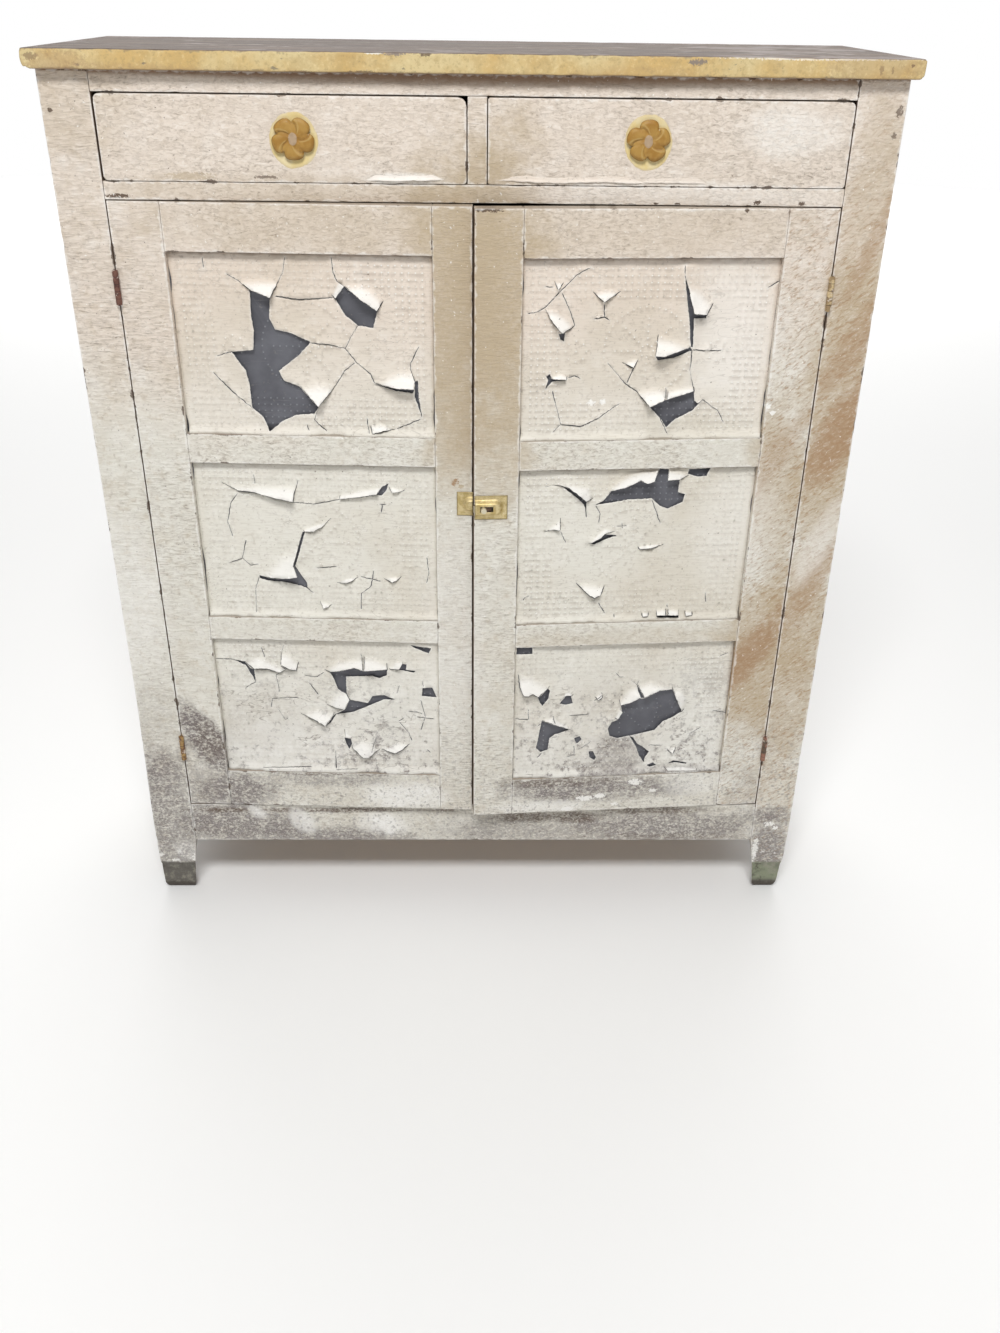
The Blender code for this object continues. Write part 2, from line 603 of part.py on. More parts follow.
def make_door(side, posts):
    """Two stiles, four rails and three tins in grooves, hung on two hinges."""
    sign = 1 if side == "left" else -1
    prefix = "door_%s_" % side
    root = empty("door_" + side, (-sign * PIVOT_X, PIVOT_Y, 0))
    root.rotation_euler.z = -sign * math.radians(AJAR_DEGREES[side])

    hinge_edge = HINGE_GAP / 2
    meeting_edge = hinge_edge + DOOR_WIDTH[side]
    opening = (hinge_edge + HINGE_STILE, meeting_edge - MEETING_STILE[side])
    face = PIVOT_PROUD
    thick = (face, face + DOOR_THICKNESS)
    tall = (DOOR_BOTTOM, DOOR_TOP)
    hinge_x = (sign * hinge_edge, sign * opening[0])
    meeting_x = (sign * opening[1], sign * meeting_edge)
    stiles = [
        box(prefix + "hinge_stile", hinge_x, thick, tall, WHITE_PAINT, root),
        box(prefix + "meeting_stile", meeting_x, thick, tall, WHITE_PAINT, root),
    ]

    rail_levels = {
        "bottom_rail": (DOOR_BOTTOM, DOOR_BOTTOM + DOOR_BOTTOM_RAIL),
        "lower_rail": (LOWER_RAIL_BOTTOM, LOWER_RAIL_TOP),
        "upper_rail": (UPPER_RAIL_BOTTOM, UPPER_RAIL_TOP),
        "top_rail": (DOOR_TOP - DOOR_TOP_RAIL, DOOR_TOP),
    }
    ends = (sign * (opening[0] + CLEAR), sign * (opening[1] - CLEAR))
    through = (sign * (opening[0] - TENON_LENGTH), sign * (opening[1] + TENON_LENGTH))
    middle = face + DOOR_THICKNESS / 2
    tongue = (middle - TENON_THICKNESS / 2, middle + TENON_THICKNESS / 2)
    rails = []
    for name, span in rail_levels.items():
        tenon = (through, tongue, grown(span, -TIN_LAP - TENON_SHOULDER))
        rails.append(tenoned(prefix + name, (ends, thick, span), tenon, stiles, root))

    tin_x = (sign * (opening[0] - TIN_LAP), sign * (opening[1] + TIN_LAP))
    tin_y = (face + TIN_RECESS, face + TIN_RECESS + TIN_THICKNESS)
    for index, name in enumerate(("tin_lower", "tin_middle", "tin_upper")):
        below, above = rails[index], rails[index + 1]
        bottom = list(rail_levels.values())[index][1]
        span = (bottom - TIN_LAP, bottom + TIN_OPENING_HEIGHT + TIN_LAP)
        box(prefix + name, tin_x, tin_y, span, PAINTED_TIN, root)
        groove = box(prefix + name + "_groove", grown(tin_x), grown(tin_y), grown(span), parent=root)
        cut(groove, below, above, *stiles)

    levels = {"lower": DOOR_BOTTOM + LOWER_HINGE_RISE, "upper": DOOR_TOP - UPPER_HINGE_DROP}
    for name, level in levels.items():
        make_hinge("hinge_%s_%s" % (side, name), sign, level, root, posts["front_" + side], stiles[0])
    return root


# Latch: a spring bolt in a cased plate on the right door, and its keeper on the left door


def make_latch(door):
    face = PIVOT_PROUD
    edge = -(HINGE_GAP / 2 + DOOR_WIDTH["right"])
    level = DOOR_BOTTOM + LATCH_RISE
    plate_left = edge + LATCH_PLATE_SETBACK
    plate_x = (plate_left, plate_left + LATCH_PLATE_WIDTH)
    plate_z = (level - LATCH_PLATE_HEIGHT / 2, level + LATCH_PLATE_HEIGHT / 2)
    plate_y = (face - CLEAR - LATCH_PLATE_THICKNESS, face - CLEAR)
    plate = box("latch_plate", plate_x, plate_y, plate_z, BRASS, door)

    # The housing has a round end away from the meeting edge
    half = HOUSING_HEIGHT / 2
    housing_y = (face - CLEAR - HOUSING_FRONT, plate_y[1] - LATCH_PLATE_THICKNESS / 2)
    round_x = plate_left + HOUSING_LENGTH - half
    housing_z = (level - half, level + half)
    housing = box("latch_housing", (plate_left, round_x), housing_y, housing_z, parent=door)
    ends = ((round_x, housing_y[0], level), (round_x, housing_y[1], level))
    join(plate, housing, rod("latch_round_end", half, *ends, parent=door))

    # The bolt runs in a tunnel, and its button in a slot through the housing's front
    bolt_z = (level - BOLT_HEIGHT / 2, level + BOLT_HEIGHT / 2)
    bolt_y = (face - CLEAR - BOLT_FRONT, face - CLEAR - BOLT_BACK)
    bolt_x = (edge - BOLT_NOSE, edge - BOLT_NOSE + BOLT_LENGTH)
    tunnel_x = (plate_left - BOLT_CLEAR, bolt_x[1] + BOLT_TRAVEL + BOLT_CLEAR)
    tunnel_y = grown(bolt_y, BOLT_CLEAR)
    cut(box("latch_tunnel", tunnel_x, tunnel_y, grown(bolt_z, BOLT_CLEAR), parent=door), plate)
    button_x = edge + BUTTON_FROM_EDGE
    slot_x = (button_x - BUTTON_RADIUS - BOLT_CLEAR, button_x + BOLT_TRAVEL + BUTTON_RADIUS + BOLT_CLEAR)
    slot_y = (housing_y[0] - CLEAR, bolt_y[0])
    slot_z = (level - BUTTON_RADIUS - BOLT_CLEAR, level + BUTTON_RADIUS + BOLT_CLEAR)
    cut(box("latch_slot", slot_x, slot_y, slot_z, parent=door), plate)

    bolt = box("latch_bolt", bolt_x, bolt_y, bolt_z, RUSTY_IRON, door)
    ends = ((button_x, face - CLEAR - BUTTON_FRONT, level), (button_x, sum(bolt_y) / 2, level))
    join(bolt, rod("latch_button", BUTTON_RADIUS, *ends, parent=door))


def make_keeper(door):
    face = PIVOT_PROUD
    edge = HINGE_GAP / 2 + DOOR_WIDTH["left"]
    level = DOOR_BOTTOM + LATCH_RISE
    plate_z = (level - LATCH_PLATE_HEIGHT / 2, level + LATCH_PLATE_HEIGHT / 2)
    plate_y = (face - CLEAR - LATCH_PLATE_THICKNESS, face - CLEAR)
    keeper = box("latch_keeper", (edge - KEEPER_WIDTH, edge), plate_y, plate_z, BRASS, door)

    # A raised pocket whose lip stands past the door's edge, over the bolt's nose
    inner = edge - KEEPER_POCKET_DEPTH
    half = HOUSING_HEIGHT / 2
    pocket_y = (face - CLEAR - HOUSING_FRONT, plate_y[1] - LATCH_PLATE_THICKNESS / 2)
    raised_z = (level - half, level + half)
    raised_x = (inner - LATCH_WALL, edge + KEEPER_LIP)
    join(keeper, box("keeper_pocket", raised_x, pocket_y, raised_z, parent=door))
    hollow_y = (pocket_y[0] + LATCH_WALL, plate_y[0])
    hollow_z = grown(raised_z, -LATCH_WALL)
    cut(box("keeper_hollow", (inner, edge + 2 * KEEPER_LIP), hollow_y, hollow_z, parent=door), keeper)
    behind_lip = ((edge, edge + 2 * KEEPER_LIP), (plate_y[0] - LATCH_WALL, plate_y[1] + CLEAR), raised_z)
    cut(box("keeper_lip_clearance", *behind_lip, parent=door), keeper)


def main():
    posts = make_case()
    for side in ("left", "right"):
        make_drawer(side)
    doors = {side: make_door(side, posts) for side in ("left", "right")}
    make_latch(doors["right"])
    make_keeper(doors["left"])


main()
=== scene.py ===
"""Pie safe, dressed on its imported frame.

Worn painted boards, punched tins under peeling paint, flower knobs, a brass latch and rusty hinges,
on a pale floor in soft light. Each operator dresses one group of pieces.
"""

import json
import math
import random
from collections import namedtuple

import bmesh
import bpy
import numpy as np
from bpy.props import FloatProperty, FloatVectorProperty, IntProperty, PointerProperty
from mathutils import Matrix, Vector, geometry, noise

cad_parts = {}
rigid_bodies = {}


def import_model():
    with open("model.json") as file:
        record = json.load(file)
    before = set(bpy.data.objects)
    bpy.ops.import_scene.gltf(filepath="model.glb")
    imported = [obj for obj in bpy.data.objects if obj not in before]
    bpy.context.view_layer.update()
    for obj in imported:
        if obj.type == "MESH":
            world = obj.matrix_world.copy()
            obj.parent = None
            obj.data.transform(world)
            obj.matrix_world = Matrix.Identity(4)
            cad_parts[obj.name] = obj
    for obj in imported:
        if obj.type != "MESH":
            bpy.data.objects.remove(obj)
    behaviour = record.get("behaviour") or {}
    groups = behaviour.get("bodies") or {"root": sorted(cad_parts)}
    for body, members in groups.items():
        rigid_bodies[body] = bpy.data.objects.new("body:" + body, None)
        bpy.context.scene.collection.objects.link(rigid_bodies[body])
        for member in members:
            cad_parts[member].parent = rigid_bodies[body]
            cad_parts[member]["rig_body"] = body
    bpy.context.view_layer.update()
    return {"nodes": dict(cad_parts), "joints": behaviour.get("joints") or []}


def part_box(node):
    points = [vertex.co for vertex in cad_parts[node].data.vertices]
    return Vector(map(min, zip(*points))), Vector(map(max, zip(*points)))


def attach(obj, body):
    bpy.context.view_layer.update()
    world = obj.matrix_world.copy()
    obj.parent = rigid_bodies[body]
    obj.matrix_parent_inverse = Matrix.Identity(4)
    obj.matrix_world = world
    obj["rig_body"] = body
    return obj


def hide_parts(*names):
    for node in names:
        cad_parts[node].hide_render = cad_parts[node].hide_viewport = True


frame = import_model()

bl_info = {
    "name": "Pie safe dressing",
    "version": (1, 0, 0),
    "blender": (4, 5, 0),
    "location": "3D View > Sidebar > Pie safe",
    "description": "Dresses the packed pie safe with worn boards, peeling tins and hardware",
    "category": "Object",
}

PHOTO_SIZE = (1000, 1333)
NODES = frame["nodes"]
MM = 0.001


# Settings


def colour(name, description, default):
    """A colour setting."""
    return FloatVectorProperty(
        name=name, description=description, default=default, subtype="COLOR", min=0.0, max=1.0, size=3
    )


def length(name, description, default):
    """A length setting, in metres."""
    return FloatProperty(
        name=name, description=description, default=default, subtype="DISTANCE", unit="LENGTH"
    )


def angle(name, description, degrees):
    """An angle setting, given in degrees."""
    return FloatProperty(name=name, description=description, default=math.radians(degrees), subtype="ANGLE")


def location(name, description, default):
    """A setting for a place, in metres."""
    return FloatVectorProperty(name=name, description=description, default=default, subtype="XYZ", size=3)


def power(name, description, default):
    """A lamp's power, in watts."""
    return FloatProperty(name=name, description=description, default=default, unit="POWER")


class PieSafePaint(bpy.types.PropertyGroup):
    """Colours of the paint, the stains and the bare stuff under them."""

    cream: colour("Cream", "Warm paint of the drawers and upper doors", (0.75, 0.66, 0.57))
    chalk: colour("Chalk", "Cooler paint of the middle and lower doors", (0.76, 0.735, 0.66))
    # Also laid as painted highlight on the folded flaps, on the tops of the dots and along the top's upper
    # edge
    pale: colour("Pale", "Clean broken paint at edges and flaps", (0.93, 0.915, 0.88))
    tan: colour("Tan", "Handling stain round the meeting stiles", (0.50, 0.40, 0.27))
    rust: colour("Rust", "Water and rust stain down the right side", (0.38, 0.23, 0.12))
    grime: colour("Grime", "Mauve grey grime near the floor", (0.20, 0.172, 0.165))
    # Also laid as painted shadow under the doors' bottom edges
    chip: colour("Chip", "Dark wood in chips and nicks", (0.11, 0.07, 0.045))
    # Also laid as painted shadow under the dots on the tins
    dust: colour("Dust", "Dirt on ledges", (0.33, 0.27, 0.21))
    mustard: colour("Mustard", "Yellow paint of the top's edge", (0.585, 0.40, 0.155))
    straw: colour("Straw", "Paler yellow, also round the knobs", (0.64, 0.52, 0.275))
    top_wood: colour("Top wood", "Worn brown grey top", (0.145, 0.10, 0.072))
    pine: colour("Pine", "Aged unpainted boards", (0.36, 0.25, 0.15))
    foot: colour("Foot", "Bare dark wood of the feet", (0.125, 0.115, 0.098))
    slate: colour("Slate", "Dark coat of the tins", (0.105, 0.106, 0.122))
    amber: colour("Amber", "Knob petals", (0.41, 0.235, 0.05))
    brass: colour("Brass", "Latch plates", (0.52, 0.40, 0.17))
    iron: colour("Iron", "Hinges and bolt", (0.20, 0.115, 0.07))


class PieSafeWear(bpy.types.PropertyGroup):
    """How far the boards and the paint have worn."""

    edge_radius: length("Edge radius", "Usual rounding of a worn board's edges", 1.2 * MM)
    chip_depth: length("Chip depth", "How much a deep chip adds to the rounding", 7.0 * MM)
    film_thickness: length("Film thickness", "Thickness of the paint on the tins", 0.5 * MM)
    film_spacing: length("Film spacing", "Mesh spacing of the paint on the tins", 6.0 * MM)
    crack_gap: length("Crack gap", "How far a crack in that paint stands open", 1.5 * MM)
    dot_spacing: length("Dot spacing", "Spacing of the punched dots", 8.5 * MM)
    dot_radius: length("Dot radius", "Radius of a punched dot", 1.7 * MM)
    seed: IntProperty(name="Seed", description="Start of every random draw", default=7)


class PieSafeStage(bpy.types.PropertyGroup):
    """Camera, light and floor."""

    eye_place: location("Eye place", "Camera's place", (0.0026, -1.7376, 1.3331))
    pitch: angle("Pitch", "Camera's tilt below level", 29.62)
    yaw: angle("Yaw", "Camera's turn towards the right", 1.29)
    roll: angle("Roll", "Camera's roll", 0.81)
    focal_pixels: FloatProperty(
        name="Focal length", description="In pixels of the photograph", default=1195.7
    )
    key_place: location("Key place", "Place of the soft light", (-0.15, -2.6, 3.95))
    key_aim: location("Key aim", "What the soft light looks at", (0.0, 0.0, 0.75))
    key_width: length("Key width", "Width of the soft light", 1.5)
    key_height: length("Key height", "Height of the soft light", 0.8)
    key_power: power("Key power", "Soft light above the camera", 122.0)
    back_place: location("Back place", "Place of the light over the far floor", (0.0, 7.5, 5.0))
    back_aim: location("Back aim", "What that light looks at", (0.0, 7.5, 4.0))
    back_width: length("Back width", "Width of that light", 9.0)
    back_height: length("Back height", "Height of that light", 6.0)
    back_power: power("Back power", "Light over the far floor", 420.0)
    sky_colour: colour("Sky", "Even light from all round", (0.33, 0.328, 0.323))
    back_colour: colour("Back", "Bright light behind the safe", (1.0, 1.0, 1.0))
    floor_radius: length("Floor radius", "Radius of the pale floor", 9.0)


class PieSafeSettings(bpy.types.PropertyGroup):
    """All settings of the dressing."""

    paint: PointerProperty(type=PieSafePaint)
    wear: PointerProperty(type=PieSafeWear)
    stage: PointerProperty(type=PieSafeStage)


def settings():
    """The scene's own settings."""
    return bpy.context.scene.pie_safe


# Shader maths


class Value:
    """A shader socket that takes part in plain arithmetic."""

    def __init__(self, finish, socket):
        self.finish = finish
        self.socket = socket

    def __add__(self, other):
        return self.finish.maths("ADD", self, other)

    def __radd__(self, other):
        return self.finish.maths("ADD", other, self)

    def __sub__(self, other):
        return self.finish.maths("SUBTRACT", self, other)

    def __rsub__(self, other):
        return self.finish.maths("SUBTRACT", other, self)

    def __mul__(self, other):
        return self.finish.maths("MULTIPLY", self, other)

    def __rmul__(self, other):
        return self.finish.maths("MULTIPLY", other, self)

    def __truediv__(self, other):
        return self.finish.maths("DIVIDE", self, other)

    def __abs__(self):
        return self.finish.maths("ABSOLUTE", self, 0.0)


class Finish:
    """One material, or the sky, and the nodes that make it."""

    def __init__(self, name, tree=None, coordinates="Object"):
        self.material = None
        if tree is None:
            self.material = bpy.data.materials.new(name)
            self.material.use_nodes = True
            tree = self.material.node_tree
        self.nodes = tree.nodes
        self.links = tree.links
        self.nodes.clear()
        self.spot = self.add("ShaderNodeTexCoord", {}, {}, coordinates)
        self.x, self.y, self.z = self.parts(self.spot)

    def parts(self, vector):
        """The three parts of a vector."""
        node = self.add("ShaderNodeSeparateXYZ", {}, {"Vector": vector}).socket.node
        return [Value(self, socket) for socket in node.outputs]

    def add(self, kind, setup, sockets, output=0):
        """Adds a node, sets it up, fills its sockets and gives one of its outputs."""
        node = self.nodes.new(kind)
        for key, setting in setup.items():
            if key == "stops":
                self.set_stops(node.color_ramp, setting)
            else:
                setattr(node, key, setting)
        by_identifier = {socket.identifier: socket for socket in node.inputs}
        for key, content in sockets.items():
            socket = by_identifier[key] if key in by_identifier else node.inputs[key]
            if isinstance(content, Value):
                self.links.new(content.socket, socket)
            elif socket.type == "RGBA":
                socket.default_value = (*content, 1.0)
            else:
                socket.default_value = content
        if len(node.outputs) == 0:
            return None
        outputs = {socket.identifier: socket for socket in node.outputs}
        return Value(self, outputs[output] if output in outputs else node.outputs[output])

    @staticmethod
    def set_stops(ramp, stops):
        """Gives a ramp its places and colours."""
        while len(ramp.elements) < len(stops):
            ramp.elements.new(1.0)
        for element, (place, tint) in zip(ramp.elements, stops):
            element.position = place
            element.color = (*tint, 1.0)

    def maths(self, operation, first, second):
        """One sum on values and numbers."""
        return self.add("ShaderNodeMath", {"operation": operation}, {"Value": first, "Value_001": second})

    def stretched(self, sizes, shift=(0.0, 0.0, 0.0)):
        """The place on the piece, scaled on each axis and shifted."""
        setup = {"operation": "MULTIPLY_ADD"}
        sockets = {"Vector": self.spot, "Vector_001": sizes, "Vector_002": shift}
        return self.add("ShaderNodeVectorMath", setup, sockets)

    def noise(self, scale, detail=3.0, rough=0.55, vector=None, distortion=0.0):
        """Cloudy noise, from 0 to 1 with its middle at 0.5."""
        sockets = {
            "Vector": vector or self.spot,
            "Scale": scale,
            "Detail": detail,
            "Roughness": rough,
            "Distortion": distortion,
        }
        return self.add("ShaderNodeTexNoise", {}, sockets)

    def cells(self, scale, feature="DISTANCE_TO_EDGE", vector=None):
        """A pattern of cells."""
        sockets = {"Vector": vector or self.spot, "Scale": scale}
        return self.add("ShaderNodeTexVoronoi", {"feature": feature}, sockets)

    def between(self, value, low, high):
        """Goes smoothly from 0 at low to 1 at high."""
        setup = {"interpolation_type": "SMOOTHSTEP"}
        return self.add("ShaderNodeMapRange", setup, {"Value": value, "From Min": low, "From Max": high})

    def ramp(self, value, stops):
        """Colours along a value."""
        return self.add("ShaderNodeValToRGB", {"stops": stops}, {"Fac": value})

    def mix(self, share, first, second):
        """The first colour, with a share of the second."""
        setup = {"data_type": "RGBA"}
        sockets = {"Factor_Float": share, "A_Color": first, "B_Color": second}
        return self.add("ShaderNodeMix", setup, sockets, "Result_Color")

    def coat(self, base, tint, share, value, low, high):
        """Lays a tint over the base, more as a value goes from low to high."""
        return self.mix(self.between(value, low, high) * share, base, tint)

    def attribute(self, name):
        """A number that the mesh carries."""
        return self.add("ShaderNodeAttribute", {"attribute_name": name}, {}, "Fac")

    def facing(self, axis):
        """One part of the surface's own direction, which stays when the piece moves."""
        return self.parts(self.add("ShaderNodeTexCoord", {}, {}, "Normal"))[axis]

    def surface(self, base, roughness, height=None, depth=0.3 * MM, strength=0.6, metallic=0.0, **more):
        """Ends the material in its shader."""
        sockets = {"Base Color": base, "Roughness": roughness, "Metallic": metallic}
        sockets.update({key.replace("_", " "): content for key, content in more.items()})
        if height is not None:
            bump = {"Strength": strength, "Distance": depth, "Height": height}
            sockets["Normal"] = self.add("ShaderNodeBump", {}, bump)
        shader = self.add("ShaderNodeBsdfPrincipled", {}, sockets)
        self.add("ShaderNodeOutputMaterial", {}, {"Surface": shader})
        return self.material


# Finishes


def heights(low, high, stops):
    """Ramp stops given at heights in metres."""
    return [((level - low) / (high - low), tint) for level, tint in stops]


# Stains on the front, with a few painted shadows and highlights among them

Stain = namedtuple("Stain", "finish x y wide tall share lean", defaults=(0.0,))


def stains(**lots):
    """Stains by the finish that they show: middle and half sizes in the photograph's pixels, share, lean."""
    return [Stain(finish, *row) for finish, rows in lots.items() for row in rows]


HANDLED = stains(
    tan=[
        (300, 190, 190, 14, 0.30), (300, 228, 150, 28, 0.32), (650, 230, 150, 28, 0.24),
        (60, 110, 60, 50, 0.25), (458, 275, 50, 160, 0.85), (503, 280, 50, 160, 0.90),
        (455, 410, 34, 90, 0.45), (500, 420, 38, 90, 0.60), (600, 640, 150, 16, 0.25),
        (872, 240, 56, 130, 0.50), (846, 370, 60, 110, 0.75), (832, 480, 50, 70, 0.80),
        (776, 478, 46, 90, 0.58), (752, 660, 46, 76, 0.85), (802, 615, 54, 70, 0.85),
        (788, 705, 38, 56, 0.60), (775, 780, 30, 40, 0.25),
    ],
    rust=[
        (872, 245, 18, 60, 0.45, 0.3), (862, 335, 28, 60, 0.50, 0.5), (844, 428, 36, 56, 0.80, 0.4),
        (812, 585, 24, 60, 0.50, 0.4), (746, 655, 28, 52, 0.80, 0.6), (775, 455, 24, 60, 0.32, 0.6),
    ],
)
GRIME_CHIPS_AND_DOOR_SHADOWS = stains(
    grime=[
        (205, 735, 18, 36, 0.95, -0.4), (214, 778, 18, 26, 0.40), (135, 720, 40, 60, 0.18),
        (160, 806, 40, 56, 0.74), (246, 790, 40, 18, 0.85), (330, 774, 80, 9, 0.50),
        (245, 822, 66, 20, 0.85), (335, 836, 74, 10, 0.75), (515, 828, 80, 15, 0.48),
        (660, 826, 100, 15, 0.78), (590, 782, 100, 14, 0.85), (690, 768, 44, 8, 0.15),
        (768, 840, 24, 34, 0.75), (745, 790, 20, 24, 0.22), (768, 815, 26, 9, 0.75),
    ],
    chip=[
        (560, 772, 70, 7, 0.50), (645, 764, 40, 5, 0.50), (210, 738, 12, 22, 0.30), (660, 838, 90, 5, 0.40),
        # These three rows are painted shadow: dark lines on the apron under the doors' bottom edges
        (315, 810, 135, 2.6, 0.85), (548, 817, 62, 6, 0.75), (655, 810, 66, 4, 0.70),
        (330, 770, 90, 2.2, 0.55), (700, 766, 26, 4, 0.75),
    ],
)
RUBBED = stains(
    pale=[
        (130, 600, 26, 90, 0.40), (790, 132, 60, 28, 0.45), (405, 179, 46, 6, 0.55),
        (818, 545, 24, 46, 0.42, 0.30), (405, 790, 40, 14, 0.75), (385, 825, 26, 13, 0.90, -0.3),
        (303, 820, 12, 14, 0.70, -0.4), (258, 812, 9, 8, 0.75, -0.5), (186, 850, 12, 12, 0.70),
        (670, 195, 170, 12, 0.30), (455, 640, 30, 120, 0.28), (690, 780, 34, 12, 0.36),
        (540, 797, 50, 6, 0.55), (735, 330, 60, 80, 0.42), (735, 530, 50, 60, 0.30),
    ],
)
SPOTS = stains(
    pale=[
        (767, 405, 4, 2.4, 0.9), (772, 412, 3, 2, 0.9), (591, 400, 3.4, 3, 0.9), (602, 399, 2.6, 3, 0.9),
        (755, 848, 4, 9, 0.8), (769, 824, 5, 2.2, 0.9), (775, 828, 3, 2, 0.9), (583, 791, 8, 2.4, 0.9),
        (599, 789, 6, 2.2, 0.9), (634, 777, 7, 3, 0.9), (566, 801, 6, 2.2, 0.9), (613, 798, 4, 1.8, 0.8),
        (652, 786, 4, 1.6, 0.8),
    ],
    chip=[
        (900, 112, 4, 6, 0.75), (894, 136, 3, 3, 0.7), (50, 110, 2, 2, 0.9), (118, 196, 11, 2, 0.95),
        (488, 206, 14, 2, 0.95), (592, 205, 3, 1.5, 0.95), (612, 205, 4, 1.5, 0.95),
        (632, 205, 4, 1.5, 0.95), (656, 204, 3, 1.5, 0.95), (677, 204, 3, 1.5, 0.95),
        (746, 209, 2.6, 2, 0.95), (758, 203, 4, 2, 0.95), (802, 204, 4, 2, 0.95), (266, 177, 12, 1.4, 0.70),
    ],
    tan=[
        (192, 176, 23, 3.5, 0.60), (461, 482, 3, 2, 0.8),
    ],
    rust=[
        (455, 478, 4, 3, 0.9),
    ],
)
FILM_DIRT = stains(
    grime=[
        (615, 752, 34, 20, 0.60), (655, 770, 66, 6, 0.60), (560, 774, 40, 5, 0.50),
    ],
    dust=[
        (262, 722, 44, 34, 0.22), (615, 690, 60, 30, 0.12),
    ],
    pale=[
        (300, 745, 60, 26, 0.35),
    ],
)
TOP_CHIPS_AND_HIGHLIGHT = stains(
    chalk=[
        (374, 52, 10, 2.2, 0.9),
    ],
    grime=[
        (394, 53, 12, 2.6, 0.8), (698, 62, 9, 3, 0.85),
    ],
    chip=[
        (425, 54, 6, 2.4, 0.85), (362, 73, 16, 1.8, 0.7), (300, 72, 12, 1.2, 0.6), (30, 56, 6, 4, 0.5),
        (882, 70, 3, 5, 0.5), (893, 71, 2, 4, 0.5), (913, 66, 2, 1.6, 0.8),
    ],
    # A painted highlight: a thin pale line along the upper edge of the top's right part
    pale=[
        (810, 58, 90, 1.3, 0.5),
    ],
    rust=[
        (56, 62, 30, 12, 0.35), (880, 66, 56, 14, 0.30), (640, 72, 70, 5, 0.18), (120, 70, 100, 6, 0.22),
    ],
)


def front_spot(x, y, depth):
    """Where a pixel of the photograph falls on an upright plane at one depth."""
    eye = Eye()
    ray = eye.ray(x, y)
    return eye.place + ray * ((depth - eye.place.y) / ray.y)


def stain_place(stain, front):
    """Middle and half sizes of a stain on an upright front."""
    low = front_spot(stain.x - stain.wide, stain.y + stain.tall, front)
    high = front_spot(stain.x + stain.wide, stain.y - stain.tall, front)
    return (low + high) / 2, (high.x - low.x) / 2, (high.z - low.z) / 2


def stained(f, base, node, lot, ragged, rim, core, rough, strength=1.0):
    """Lays those of a lot of stains that reach a node over its paint, each ragged at its rim."""
    low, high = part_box(node)
    front = low.y if node == "top_board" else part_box("post_front_left")[0].y
    for stain in lot:
        middle, across, tall = stain_place(stain, front)
        if not low.x - across < middle.x < high.x + across:
            continue
        if not low.z - tall < middle.z < high.z + tall:
            continue
        dz = (f.z - middle.z) / tall
        dx = (f.x - middle.x) / across - dz * (stain.lean * tall / across)
        away = dx * dx + dz * dz + (ragged - 0.5) * rough
        tint = getattr(settings().paint, stain.finish)
        base = f.coat(base, tint, strength * stain.share, away, rim, core)
    return base


def slanted_marks(f, degrees, length, width):
    """Short scaly marks that lean across the board."""
    c, s = math.cos(math.radians(degrees)), math.sin(math.radians(degrees))
    along = f.x * c + f.z * s
    over = f.z * c - f.x * s
    spot = f.add("ShaderNodeCombineXYZ", {}, {"X": along / length, "Y": f.y / length, "Z": over / width})
    return f.noise(1.0, 3.0, 0.6, spot, 0.7)


# Right of this place the paint is rough and scaly
SCALY_FROM = 0.36
# Painted shadow: warm dark brown laid under the overhang of the top
UNDER_TOP_SHADOW = (0.21, 0.115, 0.055)
# Brown paint and wood in the gaps beside doors and drawers
GAP_SIDE = (0.20, 0.13, 0.085)


def stain_reach(f, node):
    """How far the front's stains reach back on a board, or None where they don't come."""
    if node.startswith(("side", "post_back")):
        return None
    if node.startswith("post"):
        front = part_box(node)[0].y
        return f.between(f.y, front + 0.045, front + 0.008)
    return 1.0


def into_gap(f, node):
    """How far a face looks sideways into a gap beside a door or a drawer, or None on other boards."""
    if node.startswith("drawer"):
        return abs(f.facing(0))
    side = -1.0 if "left" in node else 1.0
    if "stile" in node:
        return f.facing(0) * (-side if "meeting" in node else side)
    if node.startswith("post_front"):
        return f.facing(0) * -side * f.between(f.z, 0.15, 0.17)
    return None


